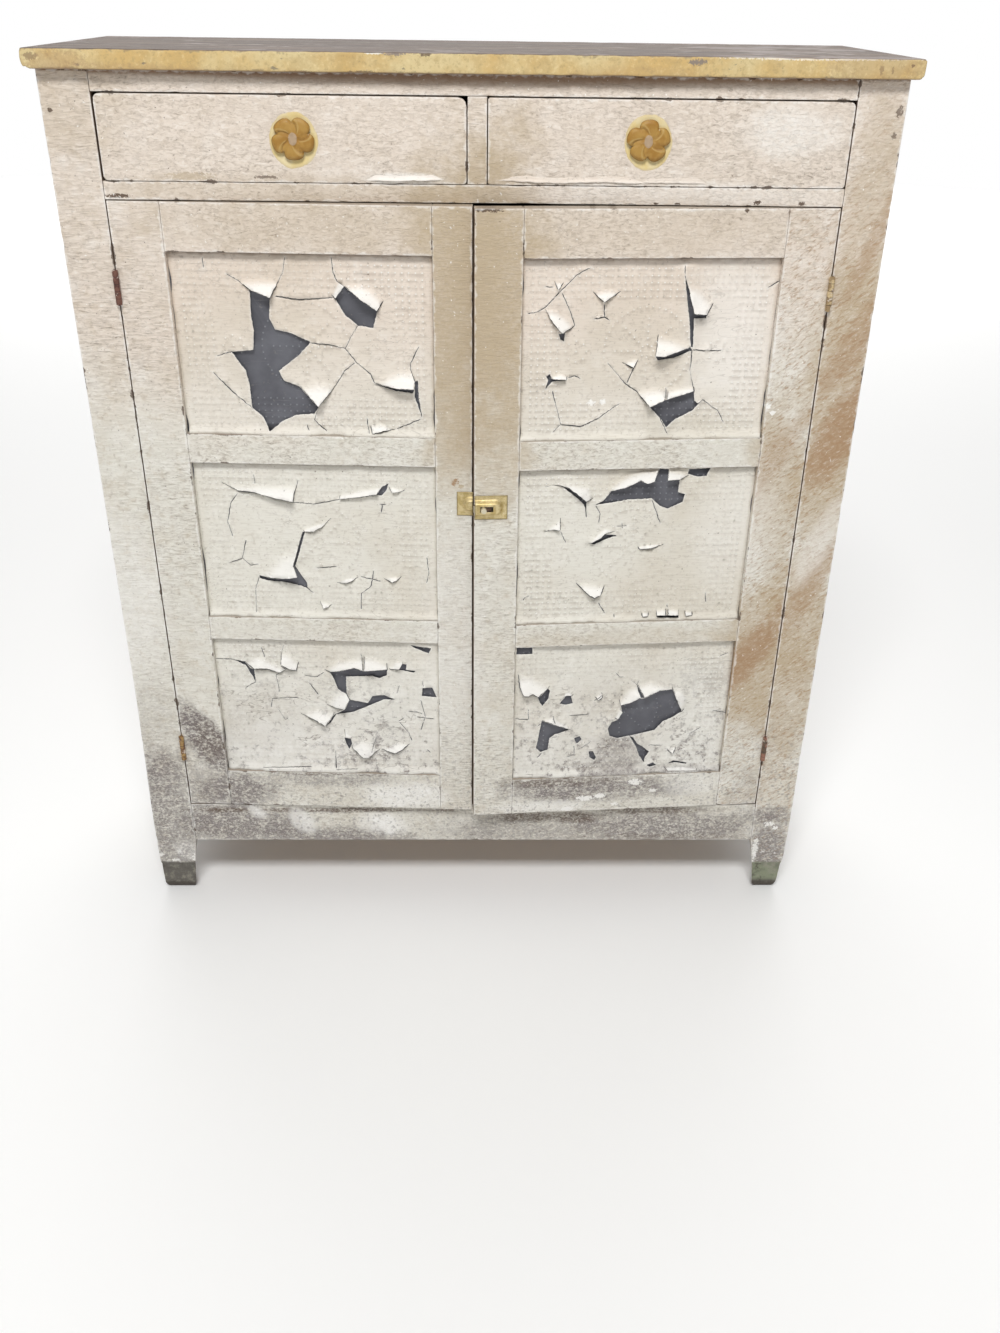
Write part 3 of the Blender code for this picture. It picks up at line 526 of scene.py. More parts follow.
def old_paint(node, grain, extra=None):
    """Chalky off-white paint, rippled and crazed, stained and chipped, with painted shadow under the top and
    under the doors.
    """
    paint = settings().paint
    f = Finish(node + "_paint")
    drift = f.noise(3.5, 3.0)
    lumps = f.noise(26.0, 5.0, 0.6)
    blotch = f.noise(13.0, 7.0, 0.72)
    mottle = f.noise(75.0, 5.0, 0.68)
    grit = f.noise(170.0, 4.0, 0.65)
    stops = heights(0.0, 1.3, [
        (0.10, paint.chalk),
        (0.80, paint.chalk),
        (1.00, paint.cream),
        (1.28, paint.cream),
    ])
    base = f.ramp((f.z + (drift - 0.5) * 0.35) / 1.3, stops)
    calm = 0.55 if grain == "X" else 1.0
    base = f.coat(base, paint.pale, 0.26 * calm, lumps, 0.50, 0.70)
    base = f.coat(base, paint.tan, 0.22 * calm, blotch, 0.52, 0.34)
    base = f.coat(base, paint.tan, 0.30 * calm, mottle, 0.48, 0.32)

    # Fine ripples lie across the grain of the uprights, faint brush marks along the rails
    low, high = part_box(node)
    across = (75.0, 75.0, 400.0) if grain == "Z" else (120.0, 300.0, 300.0)
    ripple = f.noise(1.0, 5.0, 0.65, f.stretched(across), 0.9)
    marks = f.between(ripple, 0.55, 0.36)
    patchy = f.between(f.noise(7.0, 3.0), 0.38, 0.62)
    base = f.mix(marks * (0.16 + patchy * 0.28), base, paint.dust)
    base = f.coat(base, paint.pale, 0.28, ripple, 0.56, 0.68)
    base = f.coat(base, paint.chip, patchy * 0.55, ripple, 0.365, 0.33)
    base = f.coat(base, paint.dust, 0.40, grit, 0.46, 0.28)

    # Stains where the photograph shows them, painted shadow lines under the doors among them, and a little
    # grime above the floor all round
    streak = f.noise(1.0, 9.0, 0.80, f.stretched((75.0, 75.0, 135.0)), 0.4)
    speck = f.noise(1.0, 3.0, 0.65, f.stretched((230.0, 230.0, 300.0)))
    texture = 0.14 + f.between(streak, 0.42, 0.58) * 0.66 + f.between(speck, 0.43, 0.57) * 0.64
    front = stain_reach(f, node)
    if front is not None:
        base = stained(f, base, node, HANDLED, blotch, 1.6, 0.1, 3.0, (0.75 + texture * 0.25) * front)
    if front is not None and low.x + high.x > SCALY_FROM * 2:
        scaly = slanted_marks(f, 35.0, 9.0 * MM, 2.8 * MM)
        lower = f.between(f.z, 1.20, 0.98)
        marks = marks * 0.4 + f.between(scaly, 0.46, 0.34)
        base = f.coat(base, paint.rust, 0.26 + lower * 0.40, scaly, 0.49, 0.33)
        base = f.coat(base, paint.pale, 0.10 + lower * 0.13, scaly, 0.56, 0.68)
    if front is not None:
        base = stained(f, base, node, GRIME_CHIPS_AND_DOOR_SHADOWS, blotch, 1.5, 0.1, 3.6, texture * front)
        base = stained(f, base, node, RUBBED, blotch, 1.4, 0.1, 3.2, (0.5 + texture * 0.5) * front)
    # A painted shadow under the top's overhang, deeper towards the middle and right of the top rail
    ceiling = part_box("top_board")[0].z
    if high.z > ceiling - 5.0 * MM:
        reach = 0.004
        if grain == "X":
            reach = 0.008 + f.between(f.x, -0.45, -0.05) * 0.013 - f.between(f.x, 0.10, 0.40) * 0.008
        top_shadow_band = (f.z + (mottle - 0.5) * 0.004 - ceiling) / reach + 1.0
        base = f.coat(base, UNDER_TOP_SHADOW, 0.90, top_shadow_band, 0.0, 0.85)
    near_floor = f.between(f.z, 0.22, 0.05)
    dirty = f.between(near_floor + (blotch - 0.5) * 2.0, 0.55, 1.05)
    base = f.mix(dirty * texture * 0.6, base, paint.grime)
    base = f.coat(base, paint.grime, f.between(grit, 0.52, 0.66) * 0.5, f.z, 0.40, 0.20)
    cleaner = f.between(streak * 0.6 + speck * 0.4, 0.54, 0.66)
    base = f.coat(base, paint.pale, cleaner * 0.60, f.z, 0.30, 0.14)
    if front is not None:
        base = stained(f, base, node, SPOTS, f.noise(320.0, 4.0, 0.70), 1.1, 0.8, 7.0, front)

    # Chips and pale broken paint along the edges, flecks all over
    wear = f.attribute("wear")
    base = f.coat(base, paint.pale, 0.45, wear + (f.noise(95.0, 3.0) - 0.5) * 1.8, 0.60, 1.0)
    chipped = f.between(wear + (f.noise(42.0, 4.0, 0.62) - 0.5) * 3.2, 1.22, 1.34)
    base = f.mix(chipped * 0.85, base, paint.chip)
    fleck = f.between(f.noise(300.0, 2.0), 0.72, 0.76) * f.between(drift, 0.42, 0.60)
    base = f.mix(fleck * 0.8, base, paint.chip)
    bright = f.between(f.noise(240.0, 2.0, 0.5, f.stretched((1, 1, 1), (3.1, 1.7, 0.4))), 0.71, 0.75)
    base = f.mix(bright * 0.7, base, paint.pale)
    base = f.coat(base, paint.dust, 0.75, f.facing(2), 0.5, 0.85)
    gap = into_gap(f, node)
    if gap is not None:
        base = f.coat(base, GAP_SIDE, 0.90, gap, 0.80, 0.95)
    base = f.coat(base, GAP_SIDE, 0.90, f.facing(2), -0.80, -0.95)
    if extra is not None:
        base = extra(f, base, blotch, lumps)
    height = lumps * 1.1 + grit * 0.5 + ripple * 0.9 - marks * 0.3 - chipped * 1.2 - fleck
    return f.surface(base, 0.58 + lumps * 0.25, height, 0.9 * MM, 0.7)


# Tints of the bare feet
MOSS = (0.27, 0.30, 0.20)
DRY_WOOD = (0.34, 0.32, 0.26)
DAMP_WOOD = (0.06, 0.05, 0.035)
WET_WOOD = (0.055, 0.042, 0.03)


def post_paint(node):
    """Old paint that stops above the bare feet."""

    def feet(f, base, blotch, lumps):
        paint = settings().paint
        flake = f.between(f.noise(70.0, 5.0, 0.7), 0.55, 0.59) * f.between(f.z, 0.105, 0.066)
        base = f.mix(flake * 0.85, base, paint.pale)
        bare = f.between(f.z + (blotch - 0.5) * 0.03, 0.061, 0.054)
        green = f.between(f.x + (lumps - 0.5) * 0.9, 0.15, 0.55) * f.between(f.z, 0.012, 0.024)
        wood = f.mix(green * 0.85, paint.foot, MOSS)
        patch = f.noise(60.0, 6.0, 0.7)
        wood = f.coat(wood, DRY_WOOD, 0.6, patch, 0.50, 0.66)
        wood = f.coat(wood, DAMP_WOOD, 0.75, patch, 0.48, 0.36)
        wood = f.coat(wood, WET_WOOD, 0.7, f.z + (patch - 0.5) * 0.02, 0.018, 0.010)
        return f.mix(bare, base, wood)

    return old_paint(node, "Z", feet)


def bare_wood(name, grain):
    """Aged pine with grain along one axis."""
    paint = settings().paint
    f = Finish(name)
    sizes = {"X": (1.5, 26.0, 26.0), "Y": (26.0, 1.5, 26.0), "Z": (26.0, 26.0, 1.5)}[grain]
    rings = f.noise(1.0, 4.0, 0.6, f.stretched(sizes), 1.2)
    fine = f.noise(9.0, 2.0, 0.5, f.stretched(sizes))
    drift = f.noise(4.0, 3.0)
    base = f.ramp(rings, [
        (0.30, tuple(tint * 0.55 for tint in paint.pine)),
        (0.48, tuple(paint.pine)),
        (0.70, tuple(min(1.0, tint * 1.35) for tint in paint.pine)),
    ])
    base = f.coat(base, paint.chip, 0.4, fine, 0.45, 0.30)
    base = f.coat(base, paint.dust, 0.35, drift, 0.45, 0.65)
    knot = f.between(f.cells(3.2, "F1", f.stretched((1.0, 1.0, 1.0), (0.3, 0.2, 0.7))), 0.055, 0.035)
    base = f.mix(knot * 0.8, base, paint.chip)
    height = rings * 0.6 + fine * 0.4
    return f.surface(base, 0.72 + drift * 0.15, height, 0.4 * MM, 0.5)


# Tints of the top board
OCHRE = (0.47, 0.33, 0.14)
DEEP_OCHRE = (0.38, 0.27, 0.12)
SUNNY_YELLOW = (0.78, 0.66, 0.38)
EDGE_CHIP = (0.20, 0.17, 0.12)
WORN_AND_SHADED_RIM = (0.22, 0.165, 0.10)
PALE_TOP = (0.225, 0.158, 0.115)
DUSTY_TOP = (0.36, 0.31, 0.29)


def top_paint(name):
    """Mustard edge with chips, a painted highlight and painted shade along its edges, worn brown grey wood on
    top.
    """
    paint = settings().paint
    f = Finish(name)
    low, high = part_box("top_board")
    drift = f.noise(14.0, 4.0, 0.6)
    mottle = f.noise(60.0, 4.0, 0.6)
    fine = f.noise(200.0, 5.0, 0.7)
    edge = f.mix(f.between(drift, 0.36, 0.66), paint.mustard, paint.straw)
    edge = f.coat(edge, OCHRE, 0.40, mottle, 0.52, 0.36)
    edge = f.coat(edge, DEEP_OCHRE, 0.50, fine, 0.48, 0.34)
    edge = f.coat(edge, SUNNY_YELLOW, 0.35, fine, 0.54, 0.66)
    chips = f.between(f.noise(55.0, 5.0, 0.6, f.stretched((0.6, 1.0, 1.3))), 0.66, 0.70)
    edge = f.mix(chips * 0.8, edge, EDGE_CHIP)
    # Darker along both edges of the front: worn paint, and along the lower edge also painted shade
    rim = abs((f.z - low.z) / (high.z - low.z) - 0.5) * 2.0 + (mottle - 0.5) * 1.3 + (fine - 0.5) * 1.2
    rim = f.between(rim, 0.86, 1.12)
    edge = f.mix(rim * 0.62, edge, WORN_AND_SHADED_RIM)
    # Chips and rust on the edge, and a painted highlight along its upper edge
    edge = stained(f, edge, "top_board", TOP_CHIPS_AND_HIGHLIGHT, f.noise(320.0, 4.0, 0.70), 1.1, 0.7, 6.0)

    streak = f.noise(1.0, 5.0, 0.65, f.stretched((4.0, 60.0, 60.0)), 0.8)
    wood = f.ramp(streak, [
        (0.34, tuple(tint * 0.50 for tint in paint.top_wood)),
        (0.50, tuple(tint * 0.78 for tint in paint.top_wood)),
        (0.66, PALE_TOP),
    ])
    dusty = drift + f.between(f.x, 0.05, 0.40) * 0.12
    wood = f.coat(wood, DUSTY_TOP, 0.5, dusty, 0.58, 0.68)
    worn = f.between(f.facing(2) + (mottle - 0.5) * 0.5, 0.60, 0.85)
    base = f.mix(worn, edge, wood)
    base = f.mix(f.between(f.facing(2), -0.5, -0.8), base, paint.pine)
    height = mottle * 0.5 + streak * worn - chips - rim * 0.6
    return f.surface(base, 0.50 + mottle * 0.3, height, 0.5 * MM, 0.6)


# Cooler white of the lowest tins
COOL_PAINT = (0.76, 0.755, 0.73)


def film_paint(name, node):
    """The thick brittle paint on the tins, with painted highlights and shadows on its dots and flaps."""
    paint = settings().paint
    f = Finish(name)
    drift = f.noise(5.0, 4.0)
    mottle = f.noise(45.0, 5.0, 0.65)
    grit = f.noise(190.0, 4.0, 0.65)
    stops = heights(0.0, 1.3, [
        (0.20, paint.chalk),
        (0.78, paint.chalk),
        (0.98, paint.cream),
    ])
    base = f.ramp((f.z + (drift - 0.5) * 0.3) / 1.3, stops)
    base = f.coat(base, paint.pale, 0.18, mottle, 0.50, 0.70)
    base = f.coat(base, paint.tan, 0.30, drift, 0.60, 0.33)
    base = f.coat(base, paint.dust, 0.36, grit, 0.47, 0.28)
    weave = f.noise(1.0, 2.0, 0.5, f.stretched((60.0, 60.0, 620.0)), 0.3)
    base = f.coat(base, paint.dust, 0.16, weave, 0.48, 0.30)
    base = f.coat(base, paint.pale, 0.12, weave, 0.54, 0.68)
    low = f.between(f.z, 0.52, 0.24)
    dirt = f.between(f.noise(75.0, 5.0, 0.7) + (f.noise(9.0, 4.0) - 0.5) * 0.6, 0.50, 0.64)
    base = f.mix(low * 0.40, base, COOL_PAINT)
    base = f.coat(base, paint.pale, low * 0.20, mottle, 0.44, 0.56)
    speck = f.between(f.noise(250.0, 3.0, 0.65), 0.42, 0.58)
    base = f.mix(dirt * low * (0.38 + speck * 0.48), base, paint.grime)
    speckle = 0.35 + f.between(f.noise(120.0, 8.0, 0.78), 0.44, 0.56) * 0.75
    base = stained(f, base, node, FILM_DIRT, f.noise(30.0, 7.0, 0.75), 1.5, 0.2, 5.0, speckle)
    base = stained(f, base, node, RUBBED, mottle, 1.6, 0.0, 2.0)
    # Painted highlight on the tops of the dots and painted shadow under them, stronger in patches
    thin = 0.28 + f.between(f.noise(9.0, 4.0), 0.44, 0.62) * 0.62
    base = f.coat(base, paint.pale, thin, f.attribute("bump"), 0.20, 0.8)
    base = f.mix(f.attribute("hollow") * thin * 0.36, base, paint.dust)

    # Hair cracks follow the levels of a smooth noise, in patches
    level = f.noise(1.0, 2.0, 0.5, f.stretched((24.0, 24.0, 70.0)), 0.6)
    patchy = f.between(f.noise(11.0, 3.0), 0.50, 0.62)
    hair = f.between(abs(level - 0.5), 0.014, 0.004) * patchy
    base = f.mix(hair * (0.20 + low * 0.45), base, paint.chip)
    # Folded flaps are paler: partly cleaner paint, partly a painted highlight where they tilt up towards the
    # light
    base = f.coat(base, paint.pale, 0.74, f.attribute("fold"), 0.02, 0.50)
    base = f.coat(base, paint.pale, 0.34, f.attribute("rim"), 0.3, 1.0)
    base = stained(f, base, node, SPOTS, f.noise(320.0, 4.0, 0.70), 1.1, 0.8, 7.0)
    fleck = f.between(f.noise(300.0, 2.0), 0.71, 0.75)
    base = f.mix(fleck * 0.7, base, paint.chip)
    height = mottle * 0.8 + grit * 0.4 + weave * 0.6 - fleck
    return f.surface(base, 0.48 + mottle * 0.3, height, 0.5 * MM, 0.5)


def broken_paint(name):
    """The clean broken edge and the back of the paint film."""
    paint = settings().paint
    f = Finish(name)
    grit = f.noise(260.0, 4.0, 0.65)
    base = f.mix(f.between(grit, 0.35, 0.65), paint.pale, paint.chalk)
    base = f.coat(base, paint.tan, 0.5, f.noise(40.0, 3.0), 0.58, 0.70)
    return f.surface(base, 0.75, grit, 0.2 * MM, 0.5)


# Tints of the tins, in front and behind
CLOUDY_SLATE = (0.145, 0.148, 0.168)
TIN_SCRATCH = (0.26, 0.26, 0.28)
TIN_FLECK = (0.30, 0.28, 0.26)
TIN_TIP_HIGHLIGHT = (0.30, 0.31, 0.34)
BARE_TIN = (0.36, 0.36, 0.36)
DULL_TIN = (0.22, 0.20, 0.19)


def slate_tin(name):
    """Dark coated tin with a painted highlight round its dots' tips, with bare grey metal and rust on its
    back.
    """
    paint = settings().paint
    f = Finish(name)
    cloud = f.noise(14.0, 4.0, 0.6)
    fine = f.noise(160.0, 3.0, 0.6)
    scratch = f.noise(1.0, 2.0, 0.5, f.stretched((30.0, 30.0, 700.0)), 0.2)
    front = f.mix(f.between(cloud, 0.40, 0.64), paint.slate, CLOUDY_SLATE)
    front = f.coat(front, TIN_SCRATCH, 0.4, scratch, 0.66, 0.74)
    front = f.coat(front, TIN_FLECK, 0.35, fine, 0.64, 0.72)
    # A painted highlight round the open tip of each punched dot
    front = f.mix(f.attribute("tip") * 0.7, front, TIN_TIP_HIGHLIGHT)
    back = f.mix(f.between(cloud, 0.44, 0.62), BARE_TIN, DULL_TIN)
    back = f.coat(back, paint.iron, 0.8, f.noise(26.0, 5.0, 0.65), 0.58, 0.68)
    inside = f.between(f.facing(1), -0.2, 0.4)
    base = f.mix(inside, front, back)
    height = fine * 0.6 + cloud * 0.4
    return f.surface(base, 0.46 + fine * 0.2, height, 0.2 * MM, 0.4, 0.25)


# Tints of the knobs and of the paint round them
DEEP_AMBER = (0.33, 0.165, 0.022)
RIDGE_HIGHLIGHT_AMBER = (0.48, 0.325, 0.11)
WORN_AMBER = (0.20, 0.12, 0.03)
FLOWER_HEART = (0.42, 0.30, 0.19)
DEEP_STRAW = (0.73, 0.58, 0.26)
LIGHT_STRAW = (0.75, 0.64, 0.38)


def amber_glaze(name):
    """Semi-gloss amber petals, with a painted highlight along their ridges."""
    paint = settings().paint
    f = Finish(name)
    drift = f.noise(70.0, 4.0, 0.6)
    ridge = f.attribute("ridge")
    heart = f.attribute("heart")
    base = f.mix(f.between(drift, 0.38, 0.62), paint.amber, DEEP_AMBER)
    # Painted highlight along each petal's raised ridge
    base = f.coat(base, RIDGE_HIGHLIGHT_AMBER, 0.6, ridge, 0.55, 1.0)
    base = f.coat(base, WORN_AMBER, 0.50, f.attribute("wear"), 0.45, 1.0)
    base = f.mix(f.between(heart, 0.3, 0.7), base, FLOWER_HEART)
    return f.surface(base, 0.48 + drift * 0.2, drift, 0.2 * MM, 0.4, Coat_Weight=0.08)


def straw_paint(name):
    """Pale yellow paint left round a knob."""
    paint = settings().paint
    f = Finish(name)
    drift = f.noise(60.0, 4.0, 0.6)
    fine = f.noise(260.0, 3.0, 0.6)
    base = f.mix(f.between(drift, 0.38, 0.62), DEEP_STRAW, LIGHT_STRAW)
    base = f.mix(f.attribute("wear") * 0.5, base, paint.tan)
    base = f.coat(base, paint.straw, 0.3, fine, 0.62, 0.70)
    return f.surface(base, 0.5 + drift * 0.2, fine, 0.2 * MM, 0.4)


# Tints of the latch and the hinges
BRIGHT_BRASS = (0.72, 0.60, 0.34)
BRASS_PITS = (0.24, 0.18, 0.08)
BRASS_EDGE = (0.20, 0.15, 0.06)
IRON_PITS = (0.09, 0.06, 0.045)
KNUCKLE_SEAM = (0.05, 0.03, 0.025)
BROWN_IRON = (0.16, 0.10, 0.07)
RUBBED_BUTTON = (0.72, 0.66, 0.50)


def worn_brass(name):
    """Dull olive gold brass with paint left in its corners."""
    paint = settings().paint
    f = Finish(name)
    cloud = f.noise(120.0, 4.0, 0.6)
    fine = f.noise(700.0, 3.0, 0.6)
    base = f.mix(f.between(cloud, 0.36, 0.62), paint.brass, BRIGHT_BRASS)
    base = f.coat(base, BRASS_PITS, 0.5, fine, 0.58, 0.70)
    base = f.mix(f.attribute("wear") * 0.70, base, BRASS_EDGE)
    left = f.between(f.noise(75.0, 4.0, 0.65, f.stretched((1, 1, 1), (0.5, 0.2, 0.9))), 0.68, 0.74)
    base = f.mix(left * 0.6, base, paint.chalk)
    metal = 0.75 - left * 0.7
    return f.surface(base, 0.40 + cloud * 0.25, cloud, 0.15 * MM, 0.4, metal)


# The hinges' own colours, from nearly bare iron to paint left on brass
HINGE_TINTS = {
    ("left", "upper"): ((0.105, 0.045, 0.038), (0.20, 0.095, 0.07)),
    ("left", "lower"): ((0.17, 0.085, 0.05), (0.46, 0.30, 0.12)),
    ("right", "upper"): ((0.34, 0.24, 0.13), (0.66, 0.52, 0.30)),
    ("right", "lower"): ((0.14, 0.10, 0.07), (0.33, 0.17, 0.12)),
}
KNUCKLES = 5


def rusty_iron(node, tints):
    """Old metal with rust bloom and paint remains, dark between its knuckles."""
    paint = settings().paint
    f = Finish(node + "_rust")
    low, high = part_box(node)
    cloud = f.noise(1.0, 5.0, 0.65, f.stretched((90.0, 90.0, 150.0), (low.x, 0.0, low.z)))
    fine = f.noise(520.0, 3.0, 0.6)
    base = f.mix(f.between(cloud, 0.42, 0.56), *tints)
    base = f.coat(base, IRON_PITS, 0.6, fine, 0.58, 0.70)
    left = f.between(f.noise(120.0, 4.0, 0.65, f.stretched((1, 1, 1), (0.1, 0.8, 0.4))), 0.58, 0.64)
    base = f.mix(left * 0.8, base, paint.cream)
    turns = f.maths("FRACT", (f.z - low.z) * (KNUCKLES / (high.z - low.z)), 0.0)
    seam = f.between(abs(turns - 0.5), 0.43, 0.49)
    base = f.mix(seam * 0.85, base, KNUCKLE_SEAM)
    height = cloud * 0.7 + fine * 0.3 - seam
    return f.surface(base, 0.62 + cloud * 0.2, height, 0.3 * MM, 0.6, 0.35 - left * 0.3)


def bolt_iron(name):
    """Brown iron, rubbed bright on the thumb button."""
    f = Finish(name)
    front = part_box("latch_bolt")[0].y
    cloud = f.noise(260.0, 4.0, 0.6)
    base = f.mix(f.between(cloud, 0.38, 0.62), BROWN_IRON, IRON_PITS)
    button = f.between(f.y, front + 9.2 * MM, front + 7.2 * MM)
    base = f.mix(button, base, RUBBED_BUTTON)
    return f.surface(base, 0.42 + cloud * 0.2, cloud, 0.15 * MM, 0.4, 0.75)


# Tints of the floor
WHITE_FLOOR = (0.95, 0.95, 0.945)
GREY_FLOOR = (0.93, 0.93, 0.928)


def pale_floor(name):
    """Nearly white floor with faint clouds."""
    f = Finish(name)
    cloud = f.noise(1.3, 3.0)
    base = f.mix(cloud * 0.4, WHITE_FLOOR, GREY_FLOOR)
    return f.surface(base, 0.75 + cloud * 0.1)


# Making pieces


def add_piece(name, bm, materials, body, replaced=()):
    """Links a mesh made in the row frame, and sets it riding on a body."""
    for face in bm.faces:
        face.smooth = True
    mesh = bpy.data.meshes.new(name)
    bm.to_mesh(mesh)
    bm.free()
    piece = bpy.data.objects.new(name, mesh)
    bpy.context.scene.collection.objects.link(piece)
    for material in materials:
        mesh.materials.append(material)
    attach(piece, body)
    if replaced:
        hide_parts(*replaced)
    return piece


def finish_node(node, material, edge=0.6 * MM):
    """Gives a node that stays its material and softened edges."""
    piece = NODES[node]
    piece.data.materials.clear()
    piece.data.materials.append(material)
    bevel = piece.modifiers.new("softened_edges", "BEVEL")
    bevel.width = edge
    bevel.segments = 2
    bevel.limit_method = "ANGLE"
    bevel.angle_limit = math.radians(35)
    bevel.harden_normals = False


def thicken(piece, thickness, edge_material=0):
    """Makes a sheet solid, backwards from its face, with a material of its own on its back and edges."""
    solid = piece.modifiers.new("thickness", "SOLIDIFY")
    solid.thickness = thickness
    solid.offset = -1.0
    solid.material_offset = edge_material
    solid.material_offset_rim = edge_material


def fill_grid(bm, grid, wanted=None):
    """Faces between the columns of a grid, all of them or those that are wanted."""
    for i in range(len(grid) - 1):
        for j in range(len(grid[i]) - 1):
            corners = (grid[i][j], grid[i + 1][j], grid[i + 1][j + 1], grid[i][j + 1])
            if wanted is None or wanted(corners):
                bm.faces.new(corners)


def body_of(node):
    """The body that a node rides on."""
    return NODES[node]["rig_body"]


# Places near a board's end, in shares of its edge's rounding, and how far from an edge it shows wear
NEAR_END = (0.0, 0.3, 0.7, 1.2, 2.2, 4.0)
WEAR_REACH = 7.0 * MM


def stations(low, high, fine, step):
    """Places along one side of a board, close together near its two ends."""
    near = [share * fine for share in NEAR_END if share * fine < (high - low) * 0.45]
    span = high - low - 2 * near[-1]
    count = max(1, round(span / step))
    middle = [low + near[-1] + span * i / count for i in range(1, count)]
    return [low + offset for offset in near] + middle + [high - offset for offset in reversed(near)]


def surface_lattice(bm, places):
    """Vertices and faces on the outside of a lattice, with each vertex's place."""
    counts = [len(line) for line in places]
    verts = {}

    def vert(key):
        if key not in verts:
            verts[key] = bm.verts.new([places[axis][key[axis]] for axis in range(3)])
        return verts[key]

    for axis in range(3):
        first, second = [other for other in range(3) if other != axis]
        for end in (0, counts[axis] - 1):
            for i in range(counts[first] - 1):
                for j in range(counts[second] - 1):
                    corners = []
                    for di, dj in ((0, 0), (1, 0), (1, 1), (0, 1)):
                        key = [0, 0, 0]
                        key[axis], key[first], key[second] = end, i + di, j + dj
                        corners.append(vert(tuple(key)))
                    bm.faces.new(corners)
    bmesh.ops.recalc_face_normals(bm, faces=bm.faces)


class Board:
    """A worn board between two corners, in its own frame."""

    def __init__(self, low, high, seed, step=6.0 * MM, radius=None, chips=1.0):
        wear = settings().wear
        self.low = Vector(low)
        self.high = Vector(high)
        self.radius = radius or wear.edge_radius
        self.depth = wear.chip_depth * chips
        self.shift = Vector((seed * 1.37, seed * 0.71, seed * 2.13))
        self.step = step

    def rounding(self, point):
        """How round the edge is at a point: worn unevenly, deep in a chip."""
        soft = noise.noise(point * 45.0 + self.shift)
        chip = noise.noise(point * 85.0 - self.shift)
        radius = self.radius * (1.0 + 0.6 * soft) + self.depth * max(0.0, chip - 0.32)
        return min(radius, 0.45 * min(self.high - self.low))

    def build(self, shape=None, matrix=None):
        """The board's mesh, shaped in its own frame and then placed."""
        bm = bmesh.new()
        places = [stations(self.low[a], self.high[a], self.radius, self.step) for a in range(3)]
        surface_lattice(bm, places)
        wear = bm.verts.layers.float.new("wear")
        for vert in bm.verts:
            point = vert.co.copy()
            to_ends = sorted(min(point[a] - self.low[a], self.high[a] - point[a]) for a in range(3))
            vert[wear] = max(0.0, 1.0 - to_ends[1] / WEAR_REACH)
            radius = self.rounding(point)
            spans = [(self.low[a] + radius, self.high[a] - radius) for a in range(3)]
            inner = Vector([min(max(point[a], spans[a][0]), spans[a][1]) for a in range(3)])
            out = point - inner
            if out.length > 0.0:
                point = inner + out.normalized() * radius
            if shape is not None:
                point = shape(point)
            vert.co = matrix @ point if matrix is not None else point
        return bm


def rounded_corners(low, high, reaches):
    """A shape that rounds a front's four corners, each by its own reach."""
    centre = (low + high) / 2

    def shape(point):
        side = "left" if point.x < centre.x else "right"
        level = "lower" if point.z < centre.z else "upper"
        reach = reaches[(level, side)]
        inner_x = min(max(point.x, low.x + reach), high.x - reach)
        inner_z = min(max(point.z, low.z + reach), high.z - reach)
        out = Vector((point.x - inner_x, point.z - inner_z))
        if out.length < 1e-9:
            return point
        share = max(abs(out.x), abs(out.y)) / out.length
        return Vector((inner_x + out.x * share, point.y, inner_z + out.y * share))

    return shape


# Seeing through the photograph's camera


class Eye:
    """The photograph's camera."""

    def __init__(self):
        stage = settings().stage
        self.place = Vector(stage.eye_place)
        self.focal = stage.focal_pixels
        cp, sp = math.cos(stage.pitch), math.sin(stage.pitch)
        cy, sy = math.cos(stage.yaw), math.sin(stage.yaw)
        cr, sr = math.cos(stage.roll), math.sin(stage.roll)
        self.forward = Vector((sy * cp, cy * cp, -sp))
        level = Vector((cy, -sy, 0.0))
        upright = level.cross(self.forward)
        self.right = level * cr + upright * sr
        self.up = upright * cr - level * sr

    def ray(self, x, y):
        """The way that the camera looks through one pixel."""
        across = (x - PHOTO_SIZE[0] / 2) / self.focal
        down = (y - PHOTO_SIZE[1] / 2) / self.focal
        return self.forward + self.right * across - self.up * down


class Sheet:
    """The plane of one tin: across, up and outwards from its front face."""

    def __init__(self, node):
        faces = [face for face in NODES[node].data.polygons if face.normal.y < -0.5]
        face = max(faces, key=lambda face: face.area)
        self.out = Vector((face.normal.x, face.normal.y, 0.0)).normalized()
        self.across = Vector((-self.out.y, self.out.x, 0.0))
        self.origin = Vector((face.center.x, face.center.y, 0.0))

    def flat(self, point):
        """A point's place on the sheet: across and up."""
        return Vector(((point - self.origin).dot(self.across), point.z))

    def point(self, spot, out):
        """The point that stands out from one place on the sheet."""
        return self.origin + self.across * spot[0] + self.out * out + Vector((0.0, 0.0, spot[1]))

    def seen(self, eye, x, y):
        """Where a pixel of the photograph falls on the sheet."""
        ray = eye.ray(x, y)
        reach = (self.origin - eye.place).dot(self.out) / ray.dot(self.out)
        return self.flat(eye.place + ray * reach)


# Doors


